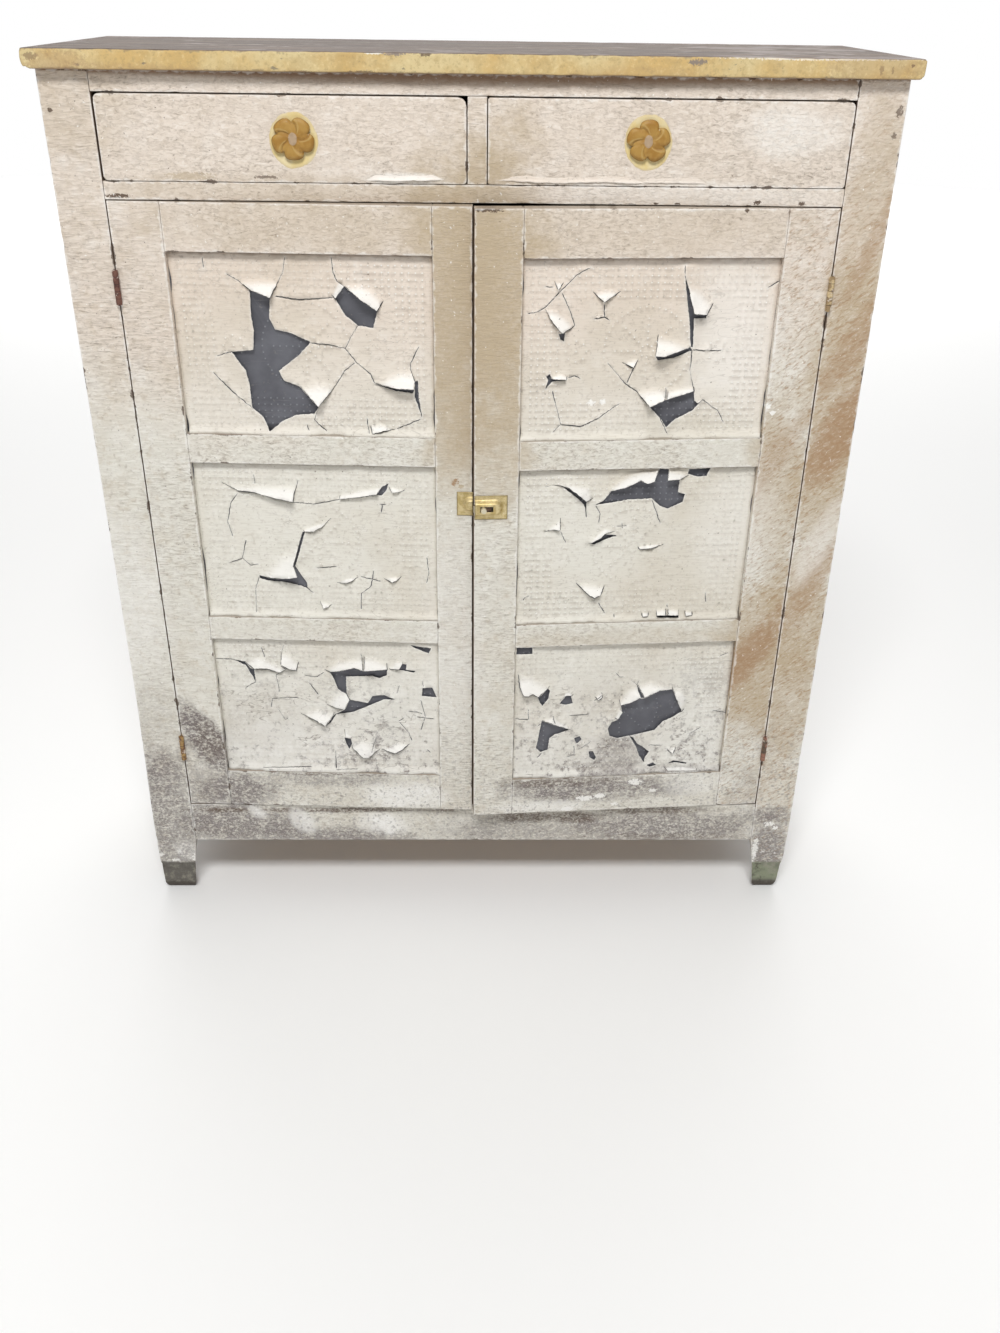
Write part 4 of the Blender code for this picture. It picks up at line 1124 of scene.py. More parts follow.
class DoorFrame:
    """A door's own frame: X across it, Y inwards, Z up, at its hinge pin."""

    def __init__(self, side):
        sheet = Sheet("door_%s_tin_upper" % side)
        joint = [joint for joint in frame["joints"] if joint["name"] == "door_%s_hinge" % side][0]
        pin = Vector((joint["pos_m"][0], joint["pos_m"][1], 0.0))
        turn = Matrix((sheet.across, -sheet.out, Vector((0, 0, 1)))).transposed()
        self.matrix = Matrix.Translation(pin) @ turn.to_4x4()
        self.inverse = self.matrix.inverted()
        self.side = side

    def box(self, node):
        """A node's two corners in the door's frame."""
        points = [self.inverse @ vert.co for vert in NODES[node].data.vertices]
        low = Vector([min(point[a] for point in points) for a in range(3)])
        high = Vector([max(point[a] for point in points) for a in range(3)])
        return low, high

    def opening(self):
        """The inner edges of the two stiles."""
        boxes = [self.box("door_%s_%s_stile" % (self.side, name)) for name in ("hinge", "meeting")]
        left, right = sorted(boxes, key=lambda box: box[0].x)
        return left[1].x, right[0].x


# The seam between two boards, and how far thick paint builds out: into the gap between the doors,
# beside the hinges, above the doors, at the left and right ends of the drawers and above these
JOINT_GAP = 0.3 * MM
MEETING_BUILD = {"left": 0.4 * MM, "right": 0.8 * MM}
HINGE_BUILD = 1.0 * MM
DOOR_BUILD = 0.8 * MM
DRAWER_BUILD = {"left": (0.0, 1.5 * MM), "right": (1.6 * MM, 1.0 * MM)}
DRAWER_TOP_BUILD = 1.6 * MM
DOOR_RAILS = ("bottom_rail", "lower_rail", "upper_rail", "top_rail")


def make_board(node, low, high, seed, finish, shape=None, matrix=None, slot="white_paint", **wear):
    """A worn board in a node's place."""
    bm = Board(low, high, seed, **wear).build(shape, matrix)
    return add_piece(node + "_worn", bm, [finish], body_of(node), (node,))


# Peeling paint on the tins, read from enlarged crops of the photograph: each crop is its left and
# upper corner in the photograph's pixels and its scale, and each line runs in the crop's own pixels.
# Holes are closed outlines and cracks are open lines. A flap is its fold line and the corners of its
# torn edge, which runs from the fold's first end to its last

TEARS = {
    "door_left_tin_upper": {
        "crop": (80, 180, 3.92),
        "holes": [
            [(665, 430), (745, 462), (742, 540), (765, 585), (830, 600), (905, 635), (860, 685), (780, 748),
             (800, 785), (860, 808), (935, 890), (920, 915), (850, 920), (795, 945), (745, 985), (720, 930),
             (675, 890), (665, 800), (650, 745), (625, 715), (595, 672), (680, 665), (682, 590),
             (672, 540)],
            [(1035, 415), (1100, 470), (1165, 515), (1150, 580), (1090, 570), (1040, 530), (1000, 465)],
            [(1312, 790), (1325, 785), (1328, 850), (1342, 930), (1330, 900), (1312, 850)],
            [(1155, 798), (1240, 818), (1310, 822), (1305, 835), (1235, 826)],
        ],
        "cracks": [
            [(765, 455), (860, 468), (995, 460)],
            [(1090, 570), (1065, 610), (1040, 660), (1085, 715), (1140, 760), (1155, 795)],
            [(905, 638), (980, 645), (1040, 660)], [(1330, 650), (1295, 720), (1297, 745)],
            [(1340, 935), (1240, 975)], [(1125, 930), (1135, 995)], [(595, 672), (535, 690)],
            [(520, 750), (600, 830), (680, 895)], [(480, 300), (485, 345)], [(890, 955), (900, 985)],
            [(572, 366), (620, 393)], [(782, 389), (795, 360), (803, 300)],
            [(985, 300), (992, 360), (1008, 398)], [(935, 890), (920, 940), (970, 985)],
            [(1005, 802), (1040, 745), (1080, 715)],
        ],
        "flaps": [
            ([(620, 393), (700, 386), (782, 389)], [(665, 430), (745, 462)]),
            ([(983, 448), (1008, 398)], [(1000, 465), (1035, 415)]),
            ([(1036, 414), (1105, 406), (1150, 434), (1190, 472)], [(1100, 470), (1165, 515)]),
            ([(860, 806), (930, 786), (1005, 802)], [(935, 890)]),
            ([(1155, 795), (1200, 763), (1255, 744), (1297, 745)], [(1240, 818), (1310, 822), (1312, 788)]),
            ([(1140, 960), (1185, 953), (1240, 974)], [(1147, 995)]),
        ],
    },
    "door_left_tin_middle": {
        "crop": (150, 420, 4.7515),
        "holes": [
            [(520, 735), (560, 748), (640, 755), (700, 748), (685, 700), (690, 690), (720, 735), (748, 772),
             (750, 798), (715, 785), (640, 768), (560, 760), (522, 750)],
            [(1075, 355), (1100, 318), (1135, 300), (1122, 335), (1100, 358)],
            [(725, 530), (736, 530), (708, 640), (690, 698), (678, 696), (700, 620)],
        ],
        "cracks": [
            [(680, 390), (780, 398), (900, 376)], [(500, 302), (492, 255)], [(698, 310), (704, 280)],
            [(750, 798), (780, 822)], [(520, 740), (503, 800), (508, 915)],
            [(1065, 712), (1050, 790), (1005, 822)], [(440, 655), (458, 565)],
            [(395, 555), (370, 480), (385, 390), (420, 345)], [(1315, 650), (1325, 720), (1315, 775)],
            [(1090, 400), (1125, 402)], [(1105, 395), (1100, 440)],
            [(372, 678), (440, 655), (478, 688), (520, 683)], [(1000, 742), (1060, 756), (1100, 766)],
            [(790, 704), (890, 693)], [(1005, 822), (1003, 900)],
        ],
        "flaps": [
            ([(335, 292), (420, 306), (520, 302), (640, 303), (698, 310)],
             [(420, 335), (500, 345), (590, 372), (680, 390), (685, 350)]),
            ([(905, 352), (1000, 330), (1085, 315), (1135, 300)],
             [(900, 376), (990, 367), (1075, 355), (1100, 318)]),
            ([(725, 518), (775, 496), (815, 486), (862, 462)], [(736, 530), (775, 531), (818, 508)]),
            ([(520, 735), (560, 688), (612, 635), (706, 598)],
             [(560, 748), (640, 755), (700, 748), (683, 698), (700, 620)]),
            ([(1108, 750), (1150, 740), (1197, 740)], [(1155, 772), (1178, 758)]),
            ([(885, 770), (930, 750), (992, 742)], [(930, 776), (955, 768)]),
            ([(808, 856), (866, 872)], [(825, 898), (850, 886)]),
            ([(1135, 316), (1215, 330)], [(1150, 346), (1180, 343)]),
        ],
    },
    "door_left_tin_lower": {
        "crop": (120, 620, 4.3556),
        "holes": [
            [(915, 225), (960, 222), (1020, 208), (1060, 222), (1165, 215), (1162, 240), (1130, 252),
             (1100, 242), (985, 245), (988, 322), (950, 300), (935, 262)],
            [(1000, 345), (1080, 360), (1100, 330), (1150, 325), (1200, 345), (1150, 345), (1100, 365),
             (1020, 398), (935, 410), (980, 390)],
            [(1262, 108), (1355, 122), (1345, 145), (1285, 122)],
            [(1215, 215), (1230, 190), (1250, 192), (1245, 215), (1288, 220), (1280, 228)],
            [(1318, 295), (1360, 293), (1380, 335), (1315, 330)],
            [(978, 510), (1005, 515), (1012, 535), (1000, 560), (988, 540)],
            [(895, 465), (930, 415), (945, 405), (920, 445)],
            [(490, 168), (545, 180), (568, 208), (585, 212), (592, 268), (575, 238), (548, 195)],
        ],
        "cracks": [
            [(410, 165), (490, 168)], [(592, 268), (545, 295)], [(714, 105), (706, 135)],
            [(695, 228), (680, 240)], [(890, 225), (860, 245), (800, 240)],
            [(660, 380), (665, 340), (780, 335)], [(690, 385), (720, 432), (735, 425)],
            [(1118, 505), (1095, 580)], [(940, 565), (942, 645)], [(1054, 160), (1048, 145)],
            [(820, 265), (865, 325)], [(1218, 282), (1206, 320)], [(1290, 420), (1370, 430)],
            [(1318, 260), (1322, 292)], [(1310, 345), (1330, 420), (1310, 480)],
            [(425, 255), (418, 275), (430, 350)], [(615, 115), (632, 162)],
            [(680, 240), (690, 280), (695, 315)], [(1272, 525), (1258, 490), (1215, 440)],
            [(1210, 440), (1240, 425)], [(1255, 395), (1300, 400), (1320, 410)],
            [(620, 640), (730, 640), (840, 635)], [(940, 648), (1040, 648)], [(1335, 560), (1355, 578)],
        ],
        "flaps": [
            ([(545, 180), (590, 150), (632, 162), (700, 198)],
             [(585, 212), (640, 212), (695, 228), (724, 214)]),
            ([(706, 135), (745, 148), (778, 178)], [(700, 195), (735, 213), (768, 220)]),
            ([(888, 212), (940, 174), (1054, 160)], [(915, 225), (960, 222), (1020, 208), (1058, 220)]),
            ([(1064, 156), (1120, 161), (1162, 184)], [(1062, 222), (1165, 215)]),
            ([(1170, 205), (1200, 174), (1230, 178)], [(1180, 214), (1215, 215), (1230, 190)]),
            ([(895, 362), (925, 320), (955, 302)], [(945, 384), (978, 392), (1000, 345), (988, 322)]),
            ([(785, 402), (860, 384), (935, 404)], [(840, 430), (895, 462)]),
            ([(1008, 528), (1060, 510), (1105, 528), (1135, 560)],
             [(1012, 555), (1060, 602), (1088, 598), (1110, 575)]),
            ([(1138, 558), (1200, 528), (1264, 536)], [(1165, 570), (1200, 581), (1228, 566)]),
            ([(978, 472), (1014, 506)], [(984, 510), (1005, 515)]),
        ],
    },
    "door_right_tin_upper": {
        "crop": (440, 180, 3.5636),
        "holes": [
            [(748, 810), (800, 785), (905, 752), (905, 785), (918, 795), (935, 782), (900, 820), (840, 850),
             (805, 880), (785, 850)],
            [(873, 340), (882, 370), (896, 430), (908, 478), (952, 480), (948, 492), (905, 492), (901, 595),
             (893, 595), (888, 500), (880, 420)],
            [(378, 700), (392, 690), (396, 708), (450, 712), (400, 718), (375, 745), (385, 715)],
            [(768, 628), (800, 630), (890, 596), (899, 606), (830, 634), (775, 642)],
            [(422, 548), (445, 545), (442, 575), (428, 568)],
        ],
        "cracks": [
            [(873, 300), (873, 340)], [(898, 606), (890, 680), (905, 752)], [(899, 605), (1005, 606)],
            [(310, 477), (350, 468), (374, 454), (440, 385), (490, 336), (540, 310)],
            [(375, 380), (405, 382)], [(585, 438), (585, 488), (550, 495)], [(585, 488), (605, 500)],
            [(400, 750), (430, 870), (500, 878), (560, 850), (640, 795)], [(690, 668), (665, 725)],
            [(785, 850), (810, 905)], [(1165, 385), (1215, 355)], [(806, 740), (806, 780)],
            [(430, 870), (400, 900)], [(480, 520), (465, 470), (435, 402)],
            [(700, 752), (660, 725), (596, 650)], [(1010, 865), (990, 822), (935, 782)],
            [(454, 705), (480, 697), (502, 708)],
        ],
        "flaps": [
            ([(884, 372), (930, 380), (974, 436)], [(896, 430), (908, 478), (952, 481)]),
            ([(543, 396), (600, 388), (646, 394)], [(585, 437), (612, 418)]),
            ([(374, 456), (425, 466), (465, 498), (480, 520)], [(402, 510), (436, 548), (458, 534)]),
            ([(408, 358), (440, 364)], [(422, 393)]),
            ([(778, 548), (835, 560), (892, 586)], [(768, 628), (800, 630), (845, 614), (890, 596)]),
            ([(646, 648), (708, 636)], [(690, 670)]),
            ([(396, 700), (425, 686), (454, 696)], [(400, 710), (450, 713)]),
            ([(700, 752), (755, 740), (806, 736)], [(748, 810), (800, 785)]),
            ([(812, 748), (860, 738), (903, 736)], [(808, 782), (905, 752)]),
        ],
    },
    "door_right_tin_middle": {
        "crop": (440, 420, 3.7333),
        "holes": [
            [(580, 315), (610, 300), (640, 265), (700, 250), (750, 225), (775, 238), (800, 230), (820, 180),
             (855, 183), (850, 225), (895, 222), (888, 268), (915, 275), (905, 305), (850, 330), (820, 320),
             (790, 292), (700, 296), (640, 308)],
            [(930, 182), (1010, 178), (995, 208), (960, 210), (925, 200)],
            [(450, 244), (482, 254), (520, 282), (547, 305), (545, 345), (537, 315), (505, 286)],
            [(560, 460), (600, 440), (615, 425), (660, 430), (630, 440), (605, 450), (575, 464)],
            [(808, 728), (890, 728), (890, 737), (812, 736)],
        ],
        "cracks": [
            [(545, 345), (545, 365)], [(790, 295), (822, 385)], [(580, 318), (598, 350), (592, 385)],
            [(449, 413), (470, 458)], [(655, 396), (700, 394)], [(678, 380), (682, 405)],
            [(847, 685), (847, 701)], [(590, 680), (615, 722)], [(310, 675), (315, 662), (335, 655)],
            [(648, 722), (651, 740)], [(990, 640), (992, 680)],
        ],
        "flaps": [
            ([(388, 250), (440, 234), (500, 236), (562, 248), (574, 288)],
             [(420, 242), (450, 244), (482, 254), (520, 282), (547, 305)]),
            ([(612, 298), (640, 240), (700, 203), (760, 186), (818, 180)],
             [(640, 265), (700, 250), (750, 225), (775, 238), (800, 230)]),
            ([(856, 184), (905, 190), (932, 203)], [(850, 225), (895, 222)]),
            ([(385, 416), (425, 386), (449, 364)], [(420, 410), (448, 413)]),
            ([(553, 458), (585, 424), (612, 402), (658, 412)], [(575, 464), (602, 440), (614, 425)]),
            ([(736, 470), (790, 461), (840, 460)], [(745, 483), (790, 479)]),
            ([(508, 607), (560, 608), (614, 615)], [(545, 645), (575, 666), (598, 656)]),
            ([(806, 704), (843, 701)], [(808, 732), (842, 732)]),
            ([(851, 701), (890, 703)], [(851, 732), (888, 731)]),
            ([(914, 708), (940, 712)], [(916, 731), (940, 729)]),
            ([(752, 716), (778, 714)], [(755, 734), (776, 732)]),
        ],
    },
    "door_right_tin_lower": {
        "crop": (440, 620, 3.7333),
        "holes": [
            [(675, 318), (712, 308), (745, 292), (762, 292), (820, 263), (868, 258), (885, 300), (902, 340),
             (870, 360), (830, 378), (800, 410), (720, 428), (660, 440), (632, 432), (626, 405), (640, 380),
             (662, 372), (680, 345)],
            [(380, 375), (430, 392), (485, 408), (450, 420), (430, 425), (408, 440), (402, 482), (375, 492),
             (358, 478), (370, 420)],
            [(285, 103), (345, 102), (345, 126), (285, 128)],
            [(365, 288), (380, 280), (402, 255), (410, 262), (405, 292), (382, 320), (372, 308)],
            [(446, 312), (470, 282), (488, 282), (496, 310), (470, 315)],
            [(705, 430), (722, 438), (735, 460), (755, 470), (780, 490), (765, 510), (760, 530), (742, 505),
             (730, 470)],
            [(500, 440), (522, 432), (528, 445), (510, 460)],
            [(555, 490), (570, 488), (582, 512), (575, 522), (558, 512)],
            [(735, 240), (762, 288), (750, 290), (738, 262)],
            [(850, 532), (870, 522), (920, 530), (918, 536), (880, 530)],
            [(770, 540), (795, 530), (808, 540), (780, 546)],
        ],
        "cracks": [
            [(715, 225), (735, 240)], [(735, 240), (745, 222)], [(575, 300), (590, 292), (605, 280)],
            [(360, 398), (395, 372)], [(430, 388), (420, 355)], [(480, 355), (560, 350)],
            [(408, 438), (440, 436)], [(845, 482), (870, 502)], [(925, 425), (975, 398)],
            [(775, 465), (825, 466)], [(1015, 335), (1070, 345)], [(278, 368), (330, 370), (330, 330)],
            [(360, 515), (380, 494)], [(470, 512), (500, 500), (500, 465)], [(1040, 135), (1075, 120)],
            [(655, 195), (672, 212), (688, 210)], [(520, 480), (545, 465), (565, 450)],
        ],
        "flaps": [
            ([(292, 200), (350, 202), (412, 242)],
             [(298, 252), (312, 284), (330, 286), (346, 277), (366, 288), (402, 256)]),
            ([(446, 300), (470, 264), (500, 276)], [(470, 283), (488, 283)]),
            ([(668, 292), (700, 250), (733, 242)], [(675, 318), (712, 308), (745, 292), (758, 290)]),
            ([(738, 238), (790, 224), (868, 246)], [(763, 290), (820, 263), (868, 258)]),
            ([(870, 256), (906, 258), (926, 290), (912, 328)], [(885, 300), (902, 340)]),
            ([(378, 372), (425, 358), (490, 402)], [(430, 392), (485, 408)]),
            ([(668, 328), (650, 362)], [(682, 345), (664, 372)]),
            ([(835, 546), (900, 542), (958, 550)], [(850, 562), (955, 562)]),
            ([(578, 285), (602, 266)], [(592, 300), (606, 288)]),
            ([(845, 478), (882, 470)], [(868, 500)]),
        ],
    },
}


class Flap:
    """A piece of paint folded outwards along a line."""

    # How far its tip stands out: at the least, for each metre of its depth, and at the most
    REST = 3.0 * MM
    STEEP = 0.42
    MOST = 15.0 * MM

    def __init__(self, fold, torn):
        self.fold = fold
        self.torn = torn
        self.outline = np.array([tuple(spot) for spot in fold + torn[::-1]])
        self.depth = max(self.from_fold(self.outline))
        self.lift = min(self.MOST, self.REST + self.STEEP * self.depth)

    def from_fold(self, probes):
        """How far each probe lies from the fold."""
        distances = [from_segment(probes, *start, *end)[1] for start, end in zip(self.fold, self.fold[1:])]
        return np.min(distances, axis=0)

    def over(self, probes):
        """How far over each probe is folded: 0 at the fold and beyond it, 1 at the farthest tip."""
        return np.where(inside(probes, self.outline), self.from_fold(probes) / self.depth, 0.0)


class Tear:
    """The torn lines of one paint film, laid on its sheet."""

    # How far the paint lifts beside a tear, how far from it, and the steps and raggedness of its line
    HOLE_LIFT = 5.0 * MM
    HOLE_REACH = 26.0 * MM
    CRACK_LIFT = 3.5 * MM
    CRACK_REACH = 16.0 * MM
    FINE = 2.5 * MM
    RAGGED = 0.35 * MM

    def __init__(self, sheet, eye, reading, dice):
        left, upper, scale = reading["crop"]

        def lay(line, closed=False):
            spots = [sheet.seen(eye, left + x / scale, upper + y / scale) for x, y in line]
            return self.resampled(spots, closed, dice)

        self.holes = [lay(line, True) for line in reading["holes"]]
        self.cracks = [lay(line) for line in reading["cracks"]]
        self.flaps = [Flap(lay(fold), lay([fold[0]] + torn + [fold[-1]])) for fold, torn in reading["flaps"]]

    def resampled(self, spots, closed, dice):
        """The line at even fine steps, with a little raggedness."""
        ends = spots[1:] + spots[:1] if closed else spots[1:]
        line = []
        for start, end in zip(spots, ends):
            count = max(1, round((end - start).length / self.FINE))
            for i in range(count):
                spot = start.lerp(end, i / count)
                ragged = self.RAGGED if i else 0.0
                line.append(spot + Vector((dice.uniform(-ragged, ragged), dice.uniform(-ragged, ragged))))
        if not closed:
            line.append(spots[-1])
        return line

    @staticmethod
    def rows(line, closed, lift, reach):
        """Each segment of a line: start, end, lift and reach."""
        ends = line[1:] + line[:1] if closed else line[1:]
        size = sum((end - start).length for start, end in zip(line, ends)) * (0.4 if closed else 1.0)
        lift *= min(1.0, 0.3 + size / 0.045)
        reach *= min(1.0, 0.35 + size / 0.05)
        rows = []
        for i, (start, end) in enumerate(zip(line, ends)):
            swell = 1.0 if closed else math.sin(math.pi * (i + 0.5) / len(ends)) ** 0.5
            rows.append((*start, *end, lift * swell, reach * (0.35 + 0.65 * swell)))
        return rows

    def segments(self):
        """The rows of all holes and cracks."""
        rows = []
        for line in self.holes:
            rows += self.rows(line, True, self.HOLE_LIFT, self.HOLE_REACH)
        for line in self.cracks:
            rows += self.rows(line, False, self.CRACK_LIFT, self.CRACK_REACH)
        return np.array(rows)


def inside(spots, outline):
    """Which of the spots lie inside a closed outline."""
    result = np.zeros(len(spots), bool)
    ends = np.roll(outline, -1, axis=0)
    for (x0, y0), (x1, y1) in zip(outline, ends):
        crosses = (y0 > spots[:, 1]) != (y1 > spots[:, 1])
        rise = y1 - y0 if y1 != y0 else 1e-12
        result ^= crosses & (spots[:, 0] < (x1 - x0) * (spots[:, 1] - y0) / rise + x0)
    return result


def from_segment(probes, x0, y0, x1, y1):
    """The way from a segment's nearest point to each probe, and how far it is."""
    along = np.array((x1 - x0, y1 - y0))
    from_start = probes - np.array((x0, y0))
    share = np.clip((from_start @ along) / max(along.dot(along), 1e-12), 0.0, 1.0)
    away = from_start - share[:, None] * along
    return away, np.hypot(away[:, 0], away[:, 1])


def torn_lift(probes, rows, sway, bend):
    """How far the film stands off at each probe, more above a tear than below, and how near a tear is."""
    lift = np.zeros(len(probes))
    nearest = np.full(len(probes), 1.0)
    for x0, y0, x1, y1, height, reach in rows:
        away, distance = from_segment(probes, x0, y0, x1, y1)
        upward = away[:, 1] / np.maximum(distance, 1e-9)
        lean = 0.22 + 0.78 * np.clip(upward, 0.0, 1.0) ** 0.8
        rise = np.clip(1.0 - distance / (reach * bend), 0.0, 1.0) ** 1.15
        lift = np.maximum(lift, height * lean * rise * sway)
        nearest = np.minimum(nearest, distance)
    return lift, nearest


# A tin: the border of its dots, how far it laps behind the frame, its dots' height and its own set-back
DOT_MARGIN = 14.0 * MM
DOT_BORDER = 5
STAR_POINTS = 8
TIN_LAP = 7.5 * MM
TIP_HEIGHT = 0.9 * MM
TIN_SETBACK = 0.3 * MM
TIN_THICKNESS = 0.5 * MM


def dot_pattern(low, high, spacing):
    """A tin's punched dots: a border of rows, a ring round a star, and a small ring at each side."""
    centre = (low + high) / 2
    half = (high - low) / 2
    spots = []
    span = half - Vector((DOT_MARGIN, DOT_MARGIN))
    columns = int(2 * span.x / spacing)
    rows = int(2 * span.y / spacing)
    for i in range(columns + 1):
        for j in range(rows + 1):
            if min(i, j, columns - i, rows - j) < DOT_BORDER:
                spots.append(centre + Vector((span.x * (2 * i / columns - 1), span.y * (2 * j / rows - 1))))
    ring = half.y - DOT_MARGIN - spacing * (DOT_BORDER + 0.6)
    spots += round_spot(centre, ring, int(2 * math.pi * ring / spacing))
    for step in range(1, int(ring / spacing)):
        spots += round_spot(centre, step * spacing, STAR_POINTS)
    for side in (-1, 1):
        diamond = centre + Vector((side * (half.x + ring) * 0.42, 0.0))
        spots += round_spot(diamond, spacing * 1.6, STAR_POINTS)
        spots.append(diamond)
    kept = []
    for spot in spots:
        if all((spot - other).length > spacing * 0.55 for other in kept):
            kept.append(spot)
    return kept


def round_spot(spot, radius, count, turn=0.0):
    """Places evenly round a spot."""
    steps = [2 * math.pi * i / count + turn for i in range(count)]
    return [spot + Vector((math.cos(step), math.sin(step))) * radius for step in steps]


class Net:
    """Points and lines in a plane, to be filled with triangles."""

    def __init__(self):
        self.spots = []
        self.edges = []
        self.cracks = set()

    def lay(self, line, closed=False, crack=False):
        """Adds a line that the triangles keep as edges."""
        first = len(self.spots)
        self.spots += line
        count = len(line)
        for i in range(count if closed else count - 1):
            if crack:
                self.cracks.add(len(self.edges))
            self.edges.append((first + i, first + (i + 1) % count))

    def filled(self):
        """Spots, edges and triangles, and the given spots and edges that each spot and edge comes from."""
        return geometry.delaunay_2d_cdt(self.spots, self.edges, [], 0, 1e-6)[:5]


def tin_window(node):
    """A tin's sheet, the corners of what shows between stiles and rails, and the depth of its ledge."""
    side = node.split("_")[1]
    level = node.split("_")[3]
    sheet = Sheet(node)
    order = {"lower": 0, "middle": 1, "upper": 2}[level]
    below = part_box("door_%s_%s" % (side, DOOR_RAILS[order]))[1].z
    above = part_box("door_%s_%s" % (side, DOOR_RAILS[order + 1]))[0].z
    door = DoorFrame(side)
    points = [sheet.flat(door.matrix @ Vector((x, 0.0, 0.0))).x for x in door.opening()]
    ledge = door.box(node)[0].y - door.box("door_%s_%s" % (side, DOOR_RAILS[order]))[0].y
    return sheet, Vector((points[0], below)), Vector((points[1], above)), ledge


def outward_faces(bm, out):
    """Turns every face to look outwards."""
    bm.normal_update()
    bmesh.ops.reverse_faces(bm, faces=[face for face in bm.faces if face.normal.dot(out) < 0.0])


def make_punched_tin(node, sheet, low, high, dots):
    """The sheet with its punched dots standing out in front, each open at its tip."""
    wear = settings().wear
    net = Net()
    left, right = low.x - TIN_LAP, high.x + TIN_LAP
    lower, upper = low.y - TIN_LAP, high.y + TIN_LAP
    corners = ((left, lower), (right, lower), (right, upper), (left, upper))
    net.lay([Vector(corner) for corner in corners], True)
    raised = {}
    for i, dot in enumerate(dots):
        net.lay(round_spot(dot, wear.dot_radius, 6), True)
        first = len(net.spots)
        net.lay(round_spot(dot, wear.dot_radius * 0.4, 3, i * 0.7), True)
        raised.update({first + corner: i for corner in range(3)})
    spots, _, faces, from_spots, _ = net.filled()
    bm = bmesh.new()
    tip = bm.verts.layers.float.new("tip")
    tip_of = {}
    verts = []
    for index, spot in enumerate(spots):
        tips = [raised[source] for source in from_spots[index] if source in raised]
        out = TIP_HEIGHT if tips else 0.0
        vert = bm.verts.new(sheet.point(spot, out - TIN_SETBACK))
        verts.append(vert)
        if tips:
            tip_of[index] = tips[0]
            vert[tip] = 1.0
    for face in faces:
        owners = {tip_of.get(index) for index in face}
        if len(owners) == 1 and None not in owners:
            continue
        bm.faces.new([verts[index] for index in face])
    outward_faces(bm, sheet.out)
    finish = slate_tin(node + "_slate")
    piece = add_piece(node + "_punched", bm, [finish], body_of(node), (node,))
    thicken(piece, TIN_THICKNESS)


class Sill:
    """Where the paint at a tin's foot curls out over the ledge of the rail below it."""

    # How far the paint stands off the tin, how high up it starts to curl, and what it leaves of the ledge
    GROUND = 1.1 * MM
    RUN = 12.0 * MM
    SHORT = 0.6 * MM

    def __init__(self, sheet, low, ledge, eye):
        self.sheet = sheet
        self.low = low
        self.reach = ledge - self.GROUND - self.SHORT
        sight = eye.place - sheet.point(low, 0.0)
        self.drop = 0.88 * self.reach * sight.z / sight.dot(sheet.out)

    def share(self, x):
        """How far out the curl comes at one place: 1 is at the rail's front."""
        ragged = noise.noise(Vector((x * 17.0, self.low.y * 31.0, 0.0)))
        fine = noise.noise(Vector((x * 90.0, self.low.y * 31.0, 2.0)))
        return min(1.0, max(0.15, 0.80 + 0.9 * ragged + 0.25 * fine))

    def lift(self, spot):
        """How far the curl stands off the tin at one spot."""
        share = self.share(spot[0])
        along = (self.low.y + self.RUN - spot[1]) / (self.RUN + self.drop * share)
        return self.reach * share * min(1.0, max(0.0, along)) ** 1.3


def film_outline(tear, sill, high, dice):
    """The film's outline: close under the top rail, ragged at its sides, out over the sill at its foot."""
    low = sill.low
    corners = [low, Vector((high.x, low.y)), high, Vector((low.x, high.y))]
    line = []
    for spot in tear.resampled(corners, True, dice):
        ragged = noise.noise(Vector((low.x * 40.0 + spot.x * 3.0, spot.y * 34.0, low.y * 7.0)))
        side = (0.3 + 4.5 * max(0.0, ragged - 0.12)) * MM
        if spot.y < low.y + MM:
            spot.y = low.y - sill.drop * sill.share(spot.x)
        line.append(Vector((
            min(max(spot.x, low.x + side), high.x - side),
            min(spot.y, high.y - 0.4 * MM),
        )))
    return line


# The paint on a tin: its row of points above the sill, how much its grid is shaken, the heights of its
# waves and of the dots under it, where it stands too far off to show them, and its brighter torn rim
FILM_FOOT = 1.5 * MM
FILM_SHAKE = 0.3
FILM_WAVE = 0.9 * MM
FILM_BUMP = 1.8 * MM
FILM_LOOSE = 6.0 * MM
FILM_RIM = 4.0 * MM


def film_net(tear, outline, low, high, dots, dice):
    """A film's lines and a shaken grid of spots, and which of its spots are bumps at dots and which lie under
    them, for a painted shadow.
    """
    wear = settings().wear
    net = Net()
    for line in [outline] + tear.holes:
        net.lay(line, closed=True)
    for line in tear.cracks + [flap.torn for flap in tear.flaps]:
        net.lay(line, crack=True)
    for flap in tear.flaps:
        net.lay(flap.fold)
    columns = round((high.x - low.x) / wear.film_spacing)
    rows = round((high.y - low.y) / wear.film_spacing)
    for i in range(1, columns):
        for j in range(1, rows):
            shake = Vector((dice.uniform(-FILM_SHAKE, FILM_SHAKE), dice.uniform(-FILM_SHAKE, FILM_SHAKE)))
            share = Vector((i / columns, j / rows))
            along = Vector((share.x * (high.x - low.x), share.y * (high.y - low.y)))
            net.spots.append(low + along + shake * wear.film_spacing)
    for i in range(1, columns * 2):
        net.spots.append(low + Vector(((high.x - low.x) * i / (columns * 2), FILM_FOOT)))
    bumps, dot_shadows = set(), set()
    for dot in dots:
        bumps.add(len(net.spots))
        net.spots.append(dot)
        for spot in round_spot(dot, wear.dot_radius * 1.2, 6):
            # The spots under each dot carry its painted shadow
            if spot.y < dot.y - wear.dot_radius * 0.5:
                dot_shadows.add(len(net.spots))
            net.spots.append(spot)
    return net, bumps, dot_shadows


